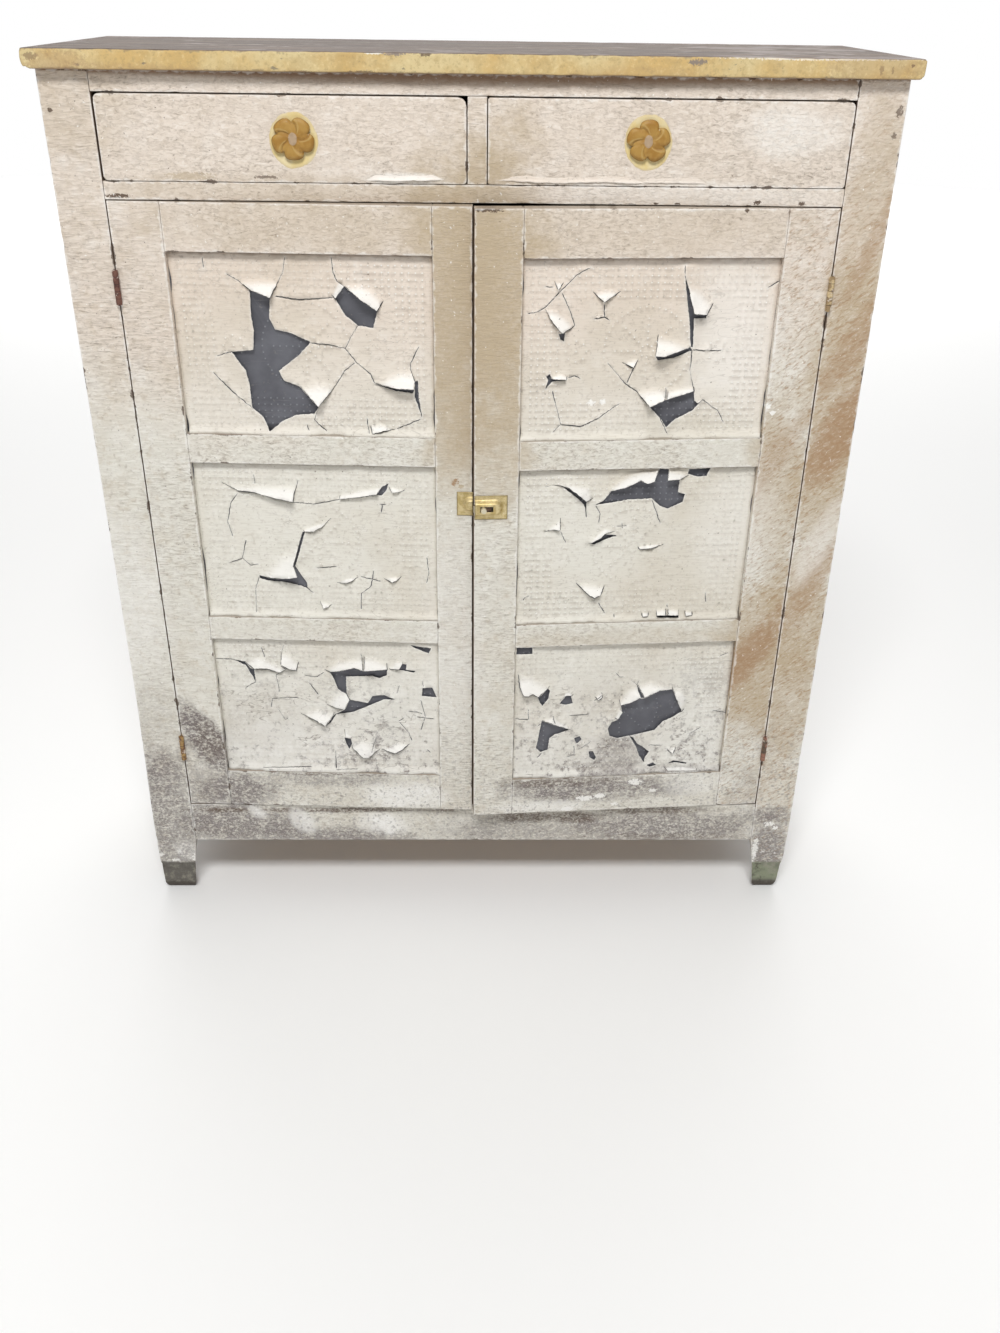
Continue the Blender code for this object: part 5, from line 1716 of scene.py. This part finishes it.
def torn_sheet(net, bumps, dot_shadows, outline, holes):
    """The film's flat mesh, with its holes left out and its cracks split."""
    spots, edges, faces, from_spots, from_edges = net.filled()
    centres = np.array([sum((Vector(spots[i]) for i in face), Vector((0.0, 0.0))) / 3 for face in faces])
    gone = ~inside(centres, np.array([tuple(spot) for spot in outline]))
    for line in holes:
        gone |= inside(centres, np.array([tuple(spot) for spot in line]))
    bm = bmesh.new()
    names = ("bump", "hollow", "opened", "fold", "rim")
    bump, hollow, opened = [bm.verts.layers.float.new(name) for name in names][:3]
    verts = []
    for index, spot in enumerate(spots):
        vert = bm.verts.new((spot[0], spot[1], 0.0))
        vert[bump] = 1.0 if any(source in bumps for source in from_spots[index]) else 0.0
        vert[hollow] = 1.0 if any(source in dot_shadows for source in from_spots[index]) else 0.0
        verts.append(vert)
    for face, missing in zip(faces, gone):
        if not missing:
            bm.faces.new([verts[index] for index in face])
    bmesh.ops.delete(bm, geom=[vert for vert in bm.verts if not vert.link_faces], context="VERTS")
    split = []
    for (first, second), sources in zip(edges, from_edges):
        if not net.cracks.intersection(sources):
            continue
        if not verts[first].is_valid or not verts[second].is_valid:
            continue
        edge = bm.edges.get((verts[first], verts[second]))
        if edge is not None and len(edge.link_faces) == 2:
            split.append(edge)
            verts[first][opened] = verts[second][opened] = 1.0
    bmesh.ops.split_edges(bm, edges=split)
    return bm


def make_film(node, sill, high, dots, eye, dice):
    """The brittle paint on a tin: cracked, torn open and curling off."""
    wear = settings().wear
    sheet = sill.sheet
    low = sill.low
    tear = Tear(sheet, eye, TEARS[node], dice)
    outline = film_outline(tear, sill, high, dice)
    bm = torn_sheet(*film_net(tear, outline, low, high, dots, dice), outline, tear.holes)
    bump, opened, folded, rim = [bm.verts.layers.float[name] for name in ("bump", "opened", "fold", "rim")]
    points = list(bm.verts)
    probes = []
    for vert in points:
        middle = sum((face.calc_center_median() for face in vert.link_faces), Vector()) / len(vert.link_faces)
        inward = (middle - vert.co).xy
        if vert[opened] and inward.length > 0.0:
            gape = 0.75 + 0.7 * noise.noise(Vector((vert.co.x * 40.0, vert.co.y * 40.0, 8.0)))
            back = inward.normalized() * min(wear.crack_gap * max(0.3, gape) / 2, inward.length)
            vert.co += Vector((back.x, back.y, 0.0))
        probes.append(tuple(vert.co.xy + inward * 0.25))
    probes = np.array(probes)
    shift = low.y * 9.0
    sway = [0.8 + 0.5 * noise.noise(Vector((x * 28.0, y * 28.0, shift))) for x, y in probes]
    bend = [0.8 + 0.9 * noise.noise(Vector((x * 34.0, y * 34.0, 5.0 + shift))) for x, y in probes]
    lift, nearest = torn_lift(probes, tear.segments(), np.array(sway), np.clip(bend, 0.35, 1.3))
    fold = np.zeros(len(probes))
    for flap in tear.flaps:
        over = flap.over(probes)
        lift = lift + flap.lift * over
        fold = np.maximum(fold, over)
    lift = np.maximum(lift, np.array([sill.lift(vert.co) for vert in points]))
    for vert, up, over, near in zip(points, lift, fold, nearest):
        spot = vert.co.xy
        settled = 1.0 - min(1.0, up / FILM_LOOSE)
        vert[folded] = over
        vert[rim] = max(0.0, 1.0 - near / FILM_RIM)
        wave = FILM_WAVE * noise.noise(Vector((spot.x * 16.0, spot.y * 16.0, low.y * 5.0)))
        ground = sheet.point(spot, sill.GROUND)
        out = up + wave * settled + FILM_BUMP * vert[bump] * settled
        toward = (eye.place - ground).normalized()
        vert.co = ground + toward * (out / toward.dot(sheet.out))
    outward_faces(bm, sheet.out)
    materials = [film_paint(node + "_film", node), broken_paint(node + "_broken")]
    piece = add_piece(node + "_paint", bm, materials, body_of(node), ())
    thicken(piece, wear.film_thickness, 1)


# Knobs and latch


def smooth(value, low, high):
    """Goes smoothly from 0 at low to 1 at high."""
    share = min(1.0, max(0.0, (value - low) / (high - low)))
    return share * share * (3.0 - 2.0 * share)


def polar_surface(bm, rings, count, place):
    """A round surface from its middle out: place(ring, turn) gives each point."""
    middle = place(rings[0], 0.0)
    before = None
    for ring in rings[1:]:
        loop = [place(ring, 2.0 * math.pi * i / count) for i in range(count)]
        for i in range(count):
            following = (i + 1) % count
            if before is None:
                bm.faces.new((middle, loop[i], loop[following]))
            else:
                bm.faces.new((before[i], loop[i], loop[following], before[following]))
        before = loop
    bmesh.ops.recalc_face_normals(bm, faces=bm.faces)


# A knob's petals, its oval heart, and the ragged patch of paint round it as half sizes in millimetres
KNOB_TURN = {"left": -16.0, "right": 18.0}
PETALS = 5
PETAL_NOTCH = 0.26
PETAL_SWIRL = 0.9
HEART = (5.5 * MM, 7.5 * MM)
PATCH = (30.0, 32.5)
PATCH_DROP = 2.2 * MM


def make_flower(side):
    """A flat knob of five overlapping petals round an oval heart, with old yellow paint round it."""
    node = "drawer_%s_knob" % side
    low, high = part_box(node)
    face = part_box("drawer_%s_front" % side)[0].y
    centre = Vector(((low.x + high.x) / 2, face, (low.z + high.z) / 2))
    turn = math.radians(KNOB_TURN[side])
    radius = (high.x - low.x) / 2
    upright = (high.z - low.z) / (high.x - low.x)
    bm = bmesh.new()
    ridge = bm.verts.layers.float.new("ridge")
    wear = bm.verts.layers.float.new("wear")
    heart = bm.verts.layers.float.new("heart")

    def place(ring, angle):
        share, back = ring
        edge = ((angle - turn) * PETALS / (2 * math.pi) + 0.5) % 1.0
        reach = radius * (1.0 - PETAL_NOTCH * (1.0 - math.sin(math.pi * edge)) ** 2)
        reach *= 1.0 + 0.05 * noise.noise(Vector((math.cos(angle), math.sin(angle), turn * 9.0)))
        petal = ((angle - turn + PETAL_SWIRL * (1.0 - share)) * PETALS / (2 * math.pi) + 0.5) % 1.0
        bulge = smooth(share, 0.12, 0.45) * (1.0 - 0.75 * smooth(share, 0.80, 1.0))
        crown = 1.3 * math.sin(math.pi * petal) ** 0.7 + 1.5 * petal
        out = 5.6 - 1.6 * smooth(share, 0.88, 1.0) + bulge * crown
        x, z = math.cos(angle) * reach * share, math.sin(angle) * reach * share * upright
        oval = math.hypot(x / HEART[0], z / HEART[1])
        out += 1.8 * (1.0 - smooth(oval, 0.7, 1.15))
        vert = bm.verts.new(centre + Vector((x, -(out if back is None else back) * MM, z)))
        vert[heart] = 1.0 - smooth(oval, 0.8, 1.1)
        # A painted highlight along each petal's raised ridge
        vert[ridge] = smooth(petal, 0.72, 0.90) * (1.0 - smooth(petal, 0.93, 1.0)) * smooth(share, 0.2, 0.35)
        vert[wear] = max(1.0 - smooth(petal, 0.02, 0.14), smooth(share, 0.88, 1.0)) * smooth(oval, 1.0, 1.4)
        return vert

    front = [0.0, 0.08, 0.16, 0.22, 0.28, 0.34, 0.42, 0.50, 0.58, 0.66, 0.74, 0.82, 0.89, 0.95, 0.985, 1.0]
    rings = [(share, None) for share in front] + [(0.985, 2.9), (0.94, 2.2), (0.34, 2.0), (0.33, 0.3)]
    polar_surface(bm, rings, 150, place)
    add_piece(node + "_flower", bm, [amber_glaze(node + "_amber")], body_of(node), (node,))

    patch = bmesh.new()
    rubbed = patch.verts.layers.float.new("wear")

    def lay(share, angle):
        around = Vector((math.cos(angle), math.sin(angle), turn * 9.0))
        ragged = 1.0 + 0.06 * noise.noise(around * 1.6) + 0.03 * noise.noise(around * 7.0)
        x = math.cos(angle) * PATCH[0] * MM * share * ragged
        z = math.sin(angle) * PATCH[1] * MM * share * ragged - PATCH_DROP
        out = 0.7 * MM * (1.0 - smooth(share, 0.92, 1.0)) - 0.2 * MM
        vert = patch.verts.new(centre + Vector((x, -out, z)))
        vert[rubbed] = smooth(share, 0.88, 1.0)
        return vert

    polar_surface(patch, [0.0, 0.3, 0.6, 0.8, 0.88, 0.93, 0.97, 1.0], 72, lay)
    add_piece(node + "_patch", patch, [straw_paint(node + "_straw")], body_of(node), ())


class PressedPlate:
    """A thin latch plate with a pressed-out case: flat rim, round end and an open slot."""

    # The metal's thickness, how far the plate stands off the door and the case off the plate, its dents,
    # the raised rim of its slot, its turned-down edge, and the mesh's step
    METAL = 1.0 * MM
    PLATE = 1.2 * MM
    CASE = 6.4 * MM
    DENT = 0.25 * MM
    SLOT_RIM = 0.7 * MM
    EDGE = 0.5 * MM
    STEP = 0.8 * MM

    def __init__(self, node, door, case_side, case_reach, half):
        self.node = node
        self.door = door
        self.low, self.high = door.box(node)
        self.level = (self.low.z + self.high.z) / 2
        self.half = half
        self.sign = 1.0 if case_side == "left" else -1.0
        self.open_end = self.low.x if case_side == "left" else self.high.x
        self.round_end = self.open_end + self.sign * (case_reach - half)
        self.slot = None

    def rise(self, x, z):
        """How far the metal stands off the door: the pressed case with soft shoulders."""
        past = max(0.0, (x - self.round_end) * self.sign)
        away = math.hypot(past, z - self.level) / self.half
        dome = 1.0 - smooth(away, 0.52, 1.05)
        dent = self.DENT * noise.noise(Vector((x * 160.0, z * 160.0, self.half * 900.0)))
        rim = 0.0
        if self.slot is not None:
            middle, across, tall = self.slot
            edge = max(abs(x - middle) - across, abs(z - self.level) - tall)
            rim = self.SLOT_RIM * (1.0 - smooth(edge, 0.3 * MM, 1.6 * MM))
        return self.PLATE + self.CASE * dome + dent + rim

    def build(self):
        """Makes the plate on its door."""
        columns = round((self.high.x - self.low.x) / self.STEP)
        rows = round((self.high.z - self.low.z) / self.STEP)
        bm = bmesh.new()
        wear = bm.verts.layers.float.new("wear")
        grid = []
        for i in range(columns + 1):
            x = self.low.x + (self.high.x - self.low.x) * i / columns
            column = []
            for j in range(rows + 1):
                z = self.low.z + (self.high.z - self.low.z) * j / rows
                near = min(x - self.low.x, self.high.x - x, z - self.low.z, self.high.z - z)
                out = self.rise(x, z) - self.EDGE * (1.0 - smooth(near, 0.0, 1.5 * MM))
                vert = bm.verts.new(self.door.matrix @ Vector((x, self.high.y - out, z)))
                vert[wear] = 1.0 - smooth(near, 0.0, 2.5 * MM)
                column.append(vert)
            grid.append(column)
        fill_grid(bm, grid, self.off_slot)
        bmesh.ops.delete(bm, geom=[vert for vert in bm.verts if not vert.link_faces], context="VERTS")
        outward_faces(bm, self.door.matrix.to_3x3() @ Vector((0.0, -1.0, 0.0)))
        finish = worn_brass(self.node + "_brass")
        piece = add_piece(self.node + "_pressed", bm, [finish], body_of(self.node), (self.node,))
        thicken(piece, self.METAL)

    def off_slot(self, corners):
        """Whether a face lies clear of the slot."""
        if self.slot is None:
            return True
        middle, across, tall = self.slot
        point = self.door.inverse @ (sum((vert.co for vert in corners), Vector()) / 4)
        return abs(point.x - middle) >= across or abs(point.z - self.level) >= tall


def make_latch():
    """The cased plate with its slot, the keeper on the other door and the bolt."""
    right = DoorFrame("right")
    plate = PressedPlate("latch_plate", right, case_side="left", case_reach=37.0 * MM, half=12.0 * MM)
    bolt = [right.inverse @ vert.co for vert in NODES["latch_bolt"].data.vertices]
    front = min(point.y for point in bolt)
    button = [point.x for point in bolt if point.y < front + 0.5 * MM]
    travel = 9.0 * MM
    middle = (min(button) + max(button)) / 2 + travel / 2
    plate.slot = (middle, travel, 4.3 * MM)
    plate.low.x = right.box("door_right_meeting_stile")[0].x - 0.4 * MM
    plate.build()
    left = DoorFrame("left")
    keeper = PressedPlate("latch_keeper", left, case_side="right", case_reach=15.5 * MM, half=11.0 * MM)
    keeper.build()
    finish_node("latch_bolt", bolt_iron("latch_bolt_iron"), edge=0.9 * MM)


# Loose paint along the drawers: where each strip runs, in pixels of the photograph, and its mesh
LIPS = {"left": ((364, 444),), "right": ((496, 652), (641, 709))}
LIP_LEVEL = 181
LIP_STEP = 2.0 * MM
LIP_ROWS = 5


def make_lip(side, number, ends):
    """A strip of paint lifting off along the lower edge of a drawer front."""
    node = "drawer_%s_front" % side
    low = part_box(node)[0]
    first, last = [front_spot(x, LIP_LEVEL, low.y).x for x in ends]
    shift = first * 11.0
    columns = round((last - first) / LIP_STEP)
    bm = bmesh.new()
    rim = bm.verts.layers.float.new("rim")
    fold = bm.verts.layers.float.new("fold")
    grid = []
    for i in range(columns + 1):
        along = i / columns
        x = first + (last - first) * along
        taper = smooth(min(along, 1.0 - along), 0.0, 0.16)
        wander = 1.8 * noise.noise(Vector((x * 14.0, shift, 0.0)))
        foot = 4.2 + wander + 0.9 * noise.noise(Vector((x * 130.0, shift, 2.0)))
        tall = (5.2 + 2.4 * noise.noise(Vector((x * 26.0, shift, 4.0)))) * taper + 0.4
        curl = max(0.2, 0.8 + 0.9 * noise.noise(Vector((x * 24.0, shift, 5.0)))) * taper
        column = []
        for j in range(LIP_ROWS + 1):
            share = j / LIP_ROWS
            out = 0.15 + 2.2 * curl * share ** 2
            vert = bm.verts.new((x, low.y - out * MM, low.z + (foot + (1.0 - share) * tall) * MM))
            vert[rim] = 0.5 * share ** 3
            vert[fold] = 0.04 * share
            column.append(vert)
        grid.append(column)
    fill_grid(bm, grid)
    outward_faces(bm, Vector((0.0, -1.0, 0.0)))
    name = "%s_lip_%d" % (node, number)
    materials = [film_paint(name + "_film", node), broken_paint(name + "_broken")]
    piece = add_piece(name, bm, materials, body_of(node), ())
    thicken(piece, settings().wear.film_thickness, 1)


# Operators


class PIESAFE_OT_stage(bpy.types.Operator):
    """Makes the floor, the lights and the camera"""

    bl_idname = "pie_safe.stage"
    bl_label = "Stage"

    def execute(self, context):
        stage = settings().stage
        scene = context.scene
        bm = bmesh.new()
        bmesh.ops.create_circle(bm, cap_ends=True, segments=96, radius=stage.floor_radius)
        mesh = bpy.data.meshes.new("floor")
        bm.to_mesh(mesh)
        bm.free()
        floor = bpy.data.objects.new("floor", mesh)
        scene.collection.objects.link(floor)
        mesh.materials.append(pale_floor("pale_floor"))

        self.add_lamp(scene, "key")
        self.add_lamp(scene, "back")

        world = bpy.data.worlds.new("sky")
        world.use_nodes = True
        sky = Finish("sky", world.node_tree, "Generated")
        tint = sky.mix(sky.between(sky.y, 0.3, 0.8), stage.sky_colour, stage.back_colour)
        light = sky.add("ShaderNodeBackground", {}, {"Color": tint, "Strength": 1.0})
        sky.add("ShaderNodeOutputWorld", {}, {"Surface": light})
        scene.world = world

        eye = Eye()
        camera = bpy.data.cameras.new("camera")
        camera.sensor_fit = "VERTICAL"
        camera.sensor_height = 36.0
        camera.lens = eye.focal / PHOTO_SIZE[1] * camera.sensor_height
        camera.clip_start = 0.01
        camera.clip_end = 100.0
        holder = bpy.data.objects.new("camera", camera)
        scene.collection.objects.link(holder)
        turn = Matrix((eye.right, eye.up, -eye.forward)).transposed()
        holder.matrix_world = Matrix.Translation(eye.place) @ turn.to_4x4()
        scene.camera = holder
        scene.view_settings.view_transform = "Standard"
        return {"FINISHED"}

    @staticmethod
    def add_lamp(scene, name):
        """A soft lamp, with its sizes and place from the settings that have its name."""
        stage = settings().stage
        lamp = bpy.data.lights.new(name, "AREA")
        lamp.shape = "RECTANGLE"
        lamp.size = getattr(stage, name + "_width")
        lamp.size_y = getattr(stage, name + "_height")
        lamp.energy = getattr(stage, name + "_power")
        holder = bpy.data.objects.new(name, lamp)
        scene.collection.objects.link(holder)
        holder.location = Vector(getattr(stage, name + "_place"))
        sight = Vector(getattr(stage, name + "_aim")) - holder.location
        holder.rotation_euler = sight.to_track_quat("-Z", "Y").to_euler()


# How far a leg draws in at its inner and outer face, above and below its bare foot, in millimetres:
# inner at the foot's top, inner at the floor, outer at the foot's top, outer at the floor
FEET = {"left": (6.0, 10.0, 1.0, 2.0), "right": (7.0, 13.0, 2.5, 6.5)}
# How far the post spreads outwards at the floor
SPREAD = {"left": 4.0 * MM, "right": 0.0}
# Where the leg starts to narrow, where the bare foot starts and where the spread starts
LEG_TOP = 0.104
FOOT_TOP = 0.056
SPREAD_TOP = 0.42
# The round heel's height and depth, how far the bare foot stands back from the paint above it, and how
# much more the leg draws in at its back
HEEL = 14.0 * MM
HEEL_ROUND = 5.0 * MM
FOOT_STEP = 2.0 * MM
BACK_DRAW = 9.0 * MM


class PIESAFE_OT_case(bpy.types.Operator):
    """Dresses the posts, rails, sides, back, shelves and runners"""

    bl_idname = "pie_safe.case"
    bl_label = "Case"

    def execute(self, context):
        for seed, (depth, side) in enumerate((d, s) for d in ("front", "back") for s in ("left", "right")):
            self.make_post("post_%s_%s" % (depth, side), seed)
        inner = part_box("post_front_right")[0].x
        for seed, node in enumerate(("top_rail", "drawer_rail", "apron")):
            low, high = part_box(node)
            low.x, high.x = JOINT_GAP - inner, inner - JOINT_GAP
            make_board(node, low, high, 11 + seed, old_paint(node, "X"))
        low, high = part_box("drawer_divider")
        low.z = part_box("drawer_rail")[1].z + JOINT_GAP
        high.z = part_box("top_rail")[0].z - JOINT_GAP
        make_board("drawer_divider", low, high, 15, old_paint("drawer_divider", "Z"))
        for node in ("side_left", "side_right"):
            finish_node(node, old_paint(node, "Z"))
        for node in ("back_board_lower", "back_board_upper", "bottom_board", "shelf_lower", "shelf_upper"):
            finish_node(node, bare_wood(node + "_wood", "X"))
        for node in ("runner_left", "runner_centre", "runner_right"):
            finish_node(node, bare_wood(node + "_wood", "Y"))
        return {"FINISHED"}

    @staticmethod
    def make_post(node, seed):
        """A post whose leg and bare foot narrow towards the floor."""
        low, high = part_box(node)
        side = node.split("_")[2]
        leg_in, foot_in, leg_out, foot_out = [size * MM for size in FEET[side]]

        def narrowed(point):
            """Draws the leg and the foot in at their height."""
            leg = min(1.0, max(0.0, (LEG_TOP - point.z) / (LEG_TOP - FOOT_TOP)))
            foot = min(1.0, max(0.0, (FOOT_TOP - point.z) / FOOT_TOP))
            inner = leg_in * leg + (foot_in - leg_in) * foot
            outer = leg_out * leg + (foot_out - leg_out) * foot
            outer -= SPREAD[side] * smooth(SPREAD_TOP - point.z, 0.0, SPREAD_TOP - LEG_TOP)
            round_in = HEEL_ROUND * max(0.0, 1.0 - point.z / HEEL) ** 2
            step = FOOT_STEP if point.z < FOOT_TOP else 0.0
            inner = inner + step / 2 + round_in
            outer = outer + step / 2 + round_in
            share = (point.x - low.x) / (high.x - low.x)
            depth = (point.y - low.y) / (high.y - low.y)
            inner += BACK_DRAW * leg * depth
            from_left, from_right = (outer, inner) if side == "left" else (inner, outer)
            thin = step + 2.0 * MM * foot + round_in
            moved = point.copy()
            moved.x += from_left * (1.0 - share) - from_right * share
            moved.y += thin * (1.0 - 2.0 * depth)
            moved.x += 0.8 * MM * foot * noise.noise(point * 60.0)
            return moved

        make_board(node, low, high, 1 + seed, post_paint(node), narrowed)


class PIESAFE_OT_top(bpy.types.Operator):
    """Dresses the top board"""

    bl_idname = "pie_safe.top"
    bl_label = "Top board"

    def execute(self, context):
        low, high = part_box("top_board")
        corners = {("upper", "left"): 4 * MM, ("upper", "right"): 3 * MM,
                   ("lower", "left"): 12 * MM, ("lower", "right"): 7 * MM}
        ends = rounded_corners(low, high, corners)

        def worn(point):
            """Rounds the ends and lets the front edge waver."""
            point = ends(point)
            depth = (point.y - low.y) / (high.y - low.y)
            point.y += 1.6 * MM * (1.0 - depth) * noise.noise(Vector((point.x * 22.0, point.z * 30.0, 0.0)))
            level = (point.z - low.z) / (high.z - low.z)
            point.z += 0.9 * MM * (0.6 - level) * noise.noise(Vector((point.x * 31.0, 4.0, 0.0)))
            return point

        finish = top_paint("top_paint")
        make_board("top_board", low, high, 21, finish, worn, slot="yellow_paint", radius=2.4 * MM)
        return {"FINISHED"}


class PIESAFE_OT_drawers(bpy.types.Operator):
    """Dresses the drawer fronts and their boxes"""

    bl_idname = "pie_safe.drawers"
    bl_label = "Drawers"

    def execute(self, context):
        corners = {
            "left": {("upper", "left"): 8 * MM, ("upper", "right"): 11 * MM,
                     ("lower", "left"): 6 * MM, ("lower", "right"): 4 * MM},
            "right": {("upper", "left"): 3 * MM, ("upper", "right"): 7 * MM,
                      ("lower", "left"): 3 * MM, ("lower", "right"): 4 * MM},
        }
        for seed, side in enumerate(("left", "right")):
            node = "drawer_%s_front" % side
            low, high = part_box(node)
            build = DRAWER_BUILD[side]
            low.x, high.x, high.z = low.x - build[0], high.x + build[1], high.z + DRAWER_TOP_BUILD
            shape = rounded_corners(low, high, corners[side])
            make_board(node, low, high, 31 + seed, old_paint(node, "X"), shape)
            for number, ends in enumerate(LIPS[side]):
                make_lip(side, number, ends)
            for wall, grain in {"side_left": "Y", "side_right": "Y", "back": "X", "bottom": "X"}.items():
                name = "drawer_%s_%s" % (side, wall)
                finish_node(name, bare_wood(name + "_wood", grain))
        return {"FINISHED"}


class PIESAFE_OT_doors(bpy.types.Operator):
    """Dresses the door frames"""

    bl_idname = "pie_safe.doors"
    bl_label = "Door frames"

    def execute(self, context):
        for turn, side in enumerate(("left", "right")):
            door = DoorFrame(side)
            left, right = door.opening()
            for seed, name in enumerate(("hinge_stile", "meeting_stile") + DOOR_RAILS):
                node = "door_%s_%s" % (side, name)
                low, high = door.box(node)
                grain = "Z"
                if name in DOOR_RAILS:
                    low.x, high.x = left + JOINT_GAP, right - JOINT_GAP
                    grain = "X"
                else:
                    build = HINGE_BUILD if name == "hinge_stile" else MEETING_BUILD[side]
                    if low.x < left:
                        low.x -= build
                    else:
                        high.x += build
                if name not in ("lower_rail", "upper_rail", "bottom_rail"):
                    high.z += DOOR_BUILD
                make_board(node, low, high, 41 + seed + 10 * turn, old_paint(node, grain), None, door.matrix)
        return {"FINISHED"}


class PIESAFE_OT_tins(bpy.types.Operator):
    """Makes the punched tins and the peeling paint on them"""

    bl_idname = "pie_safe.tins"
    bl_label = "Tins"

    def execute(self, context):
        eye = Eye()
        dice = random.Random(settings().wear.seed)
        for node in TEARS:
            sheet, low, high, ledge = tin_window(node)
            dots = dot_pattern(low, high, settings().wear.dot_spacing)
            make_punched_tin(node, sheet, low, high, dots)
            make_film(node, Sill(sheet, low, ledge, eye), high, dots, eye, dice)
        return {"FINISHED"}


class PIESAFE_OT_hardware(bpy.types.Operator):
    """Dresses the knobs, hinges and latch"""

    bl_idname = "pie_safe.hardware"
    bl_label = "Hardware"

    def execute(self, context):
        for side in ("left", "right"):
            make_flower(side)
            for level in ("lower", "upper"):
                for owner in ("post", "door"):
                    node = "hinge_%s_%s_%s_leaf" % (side, level, owner)
                    finish_node(node, rusty_iron(node, HINGE_TINTS[(side, level)]), 0.3 * MM)
        make_latch()
        return {"FINISHED"}


class PIESAFE_PT_dressing(bpy.types.Panel):
    """Lists the operators of the dressing"""

    bl_idname = "PIESAFE_PT_dressing"
    bl_label = "Pie safe"
    bl_space_type = "VIEW_3D"
    bl_region_type = "UI"
    bl_category = "Pie safe"

    def draw(self, context):
        for operator in OPERATORS:
            self.layout.operator(operator.bl_idname)


OPERATORS = (
    PIESAFE_OT_stage,
    PIESAFE_OT_case,
    PIESAFE_OT_top,
    PIESAFE_OT_drawers,
    PIESAFE_OT_doors,
    PIESAFE_OT_tins,
    PIESAFE_OT_hardware,
)
GROUPS = (PieSafePaint, PieSafeWear, PieSafeStage, PieSafeSettings)


def register():
    """Registers the settings, the operators and the panel."""
    for owner in GROUPS + OPERATORS + (PIESAFE_PT_dressing,):
        bpy.utils.register_class(owner)
    bpy.types.Scene.pie_safe = PointerProperty(type=PieSafeSettings)


def unregister():
    """Takes them out again."""
    del bpy.types.Scene.pie_safe
    for owner in reversed(GROUPS + OPERATORS + (PIESAFE_PT_dressing,)):
        bpy.utils.unregister_class(owner)


def main():
    """Dresses the whole safe."""
    register()
    for operator in OPERATORS:
        group, name = operator.bl_idname.split(".")
        getattr(getattr(bpy.ops, group), name)()


if __name__ == "__main__":
    main()
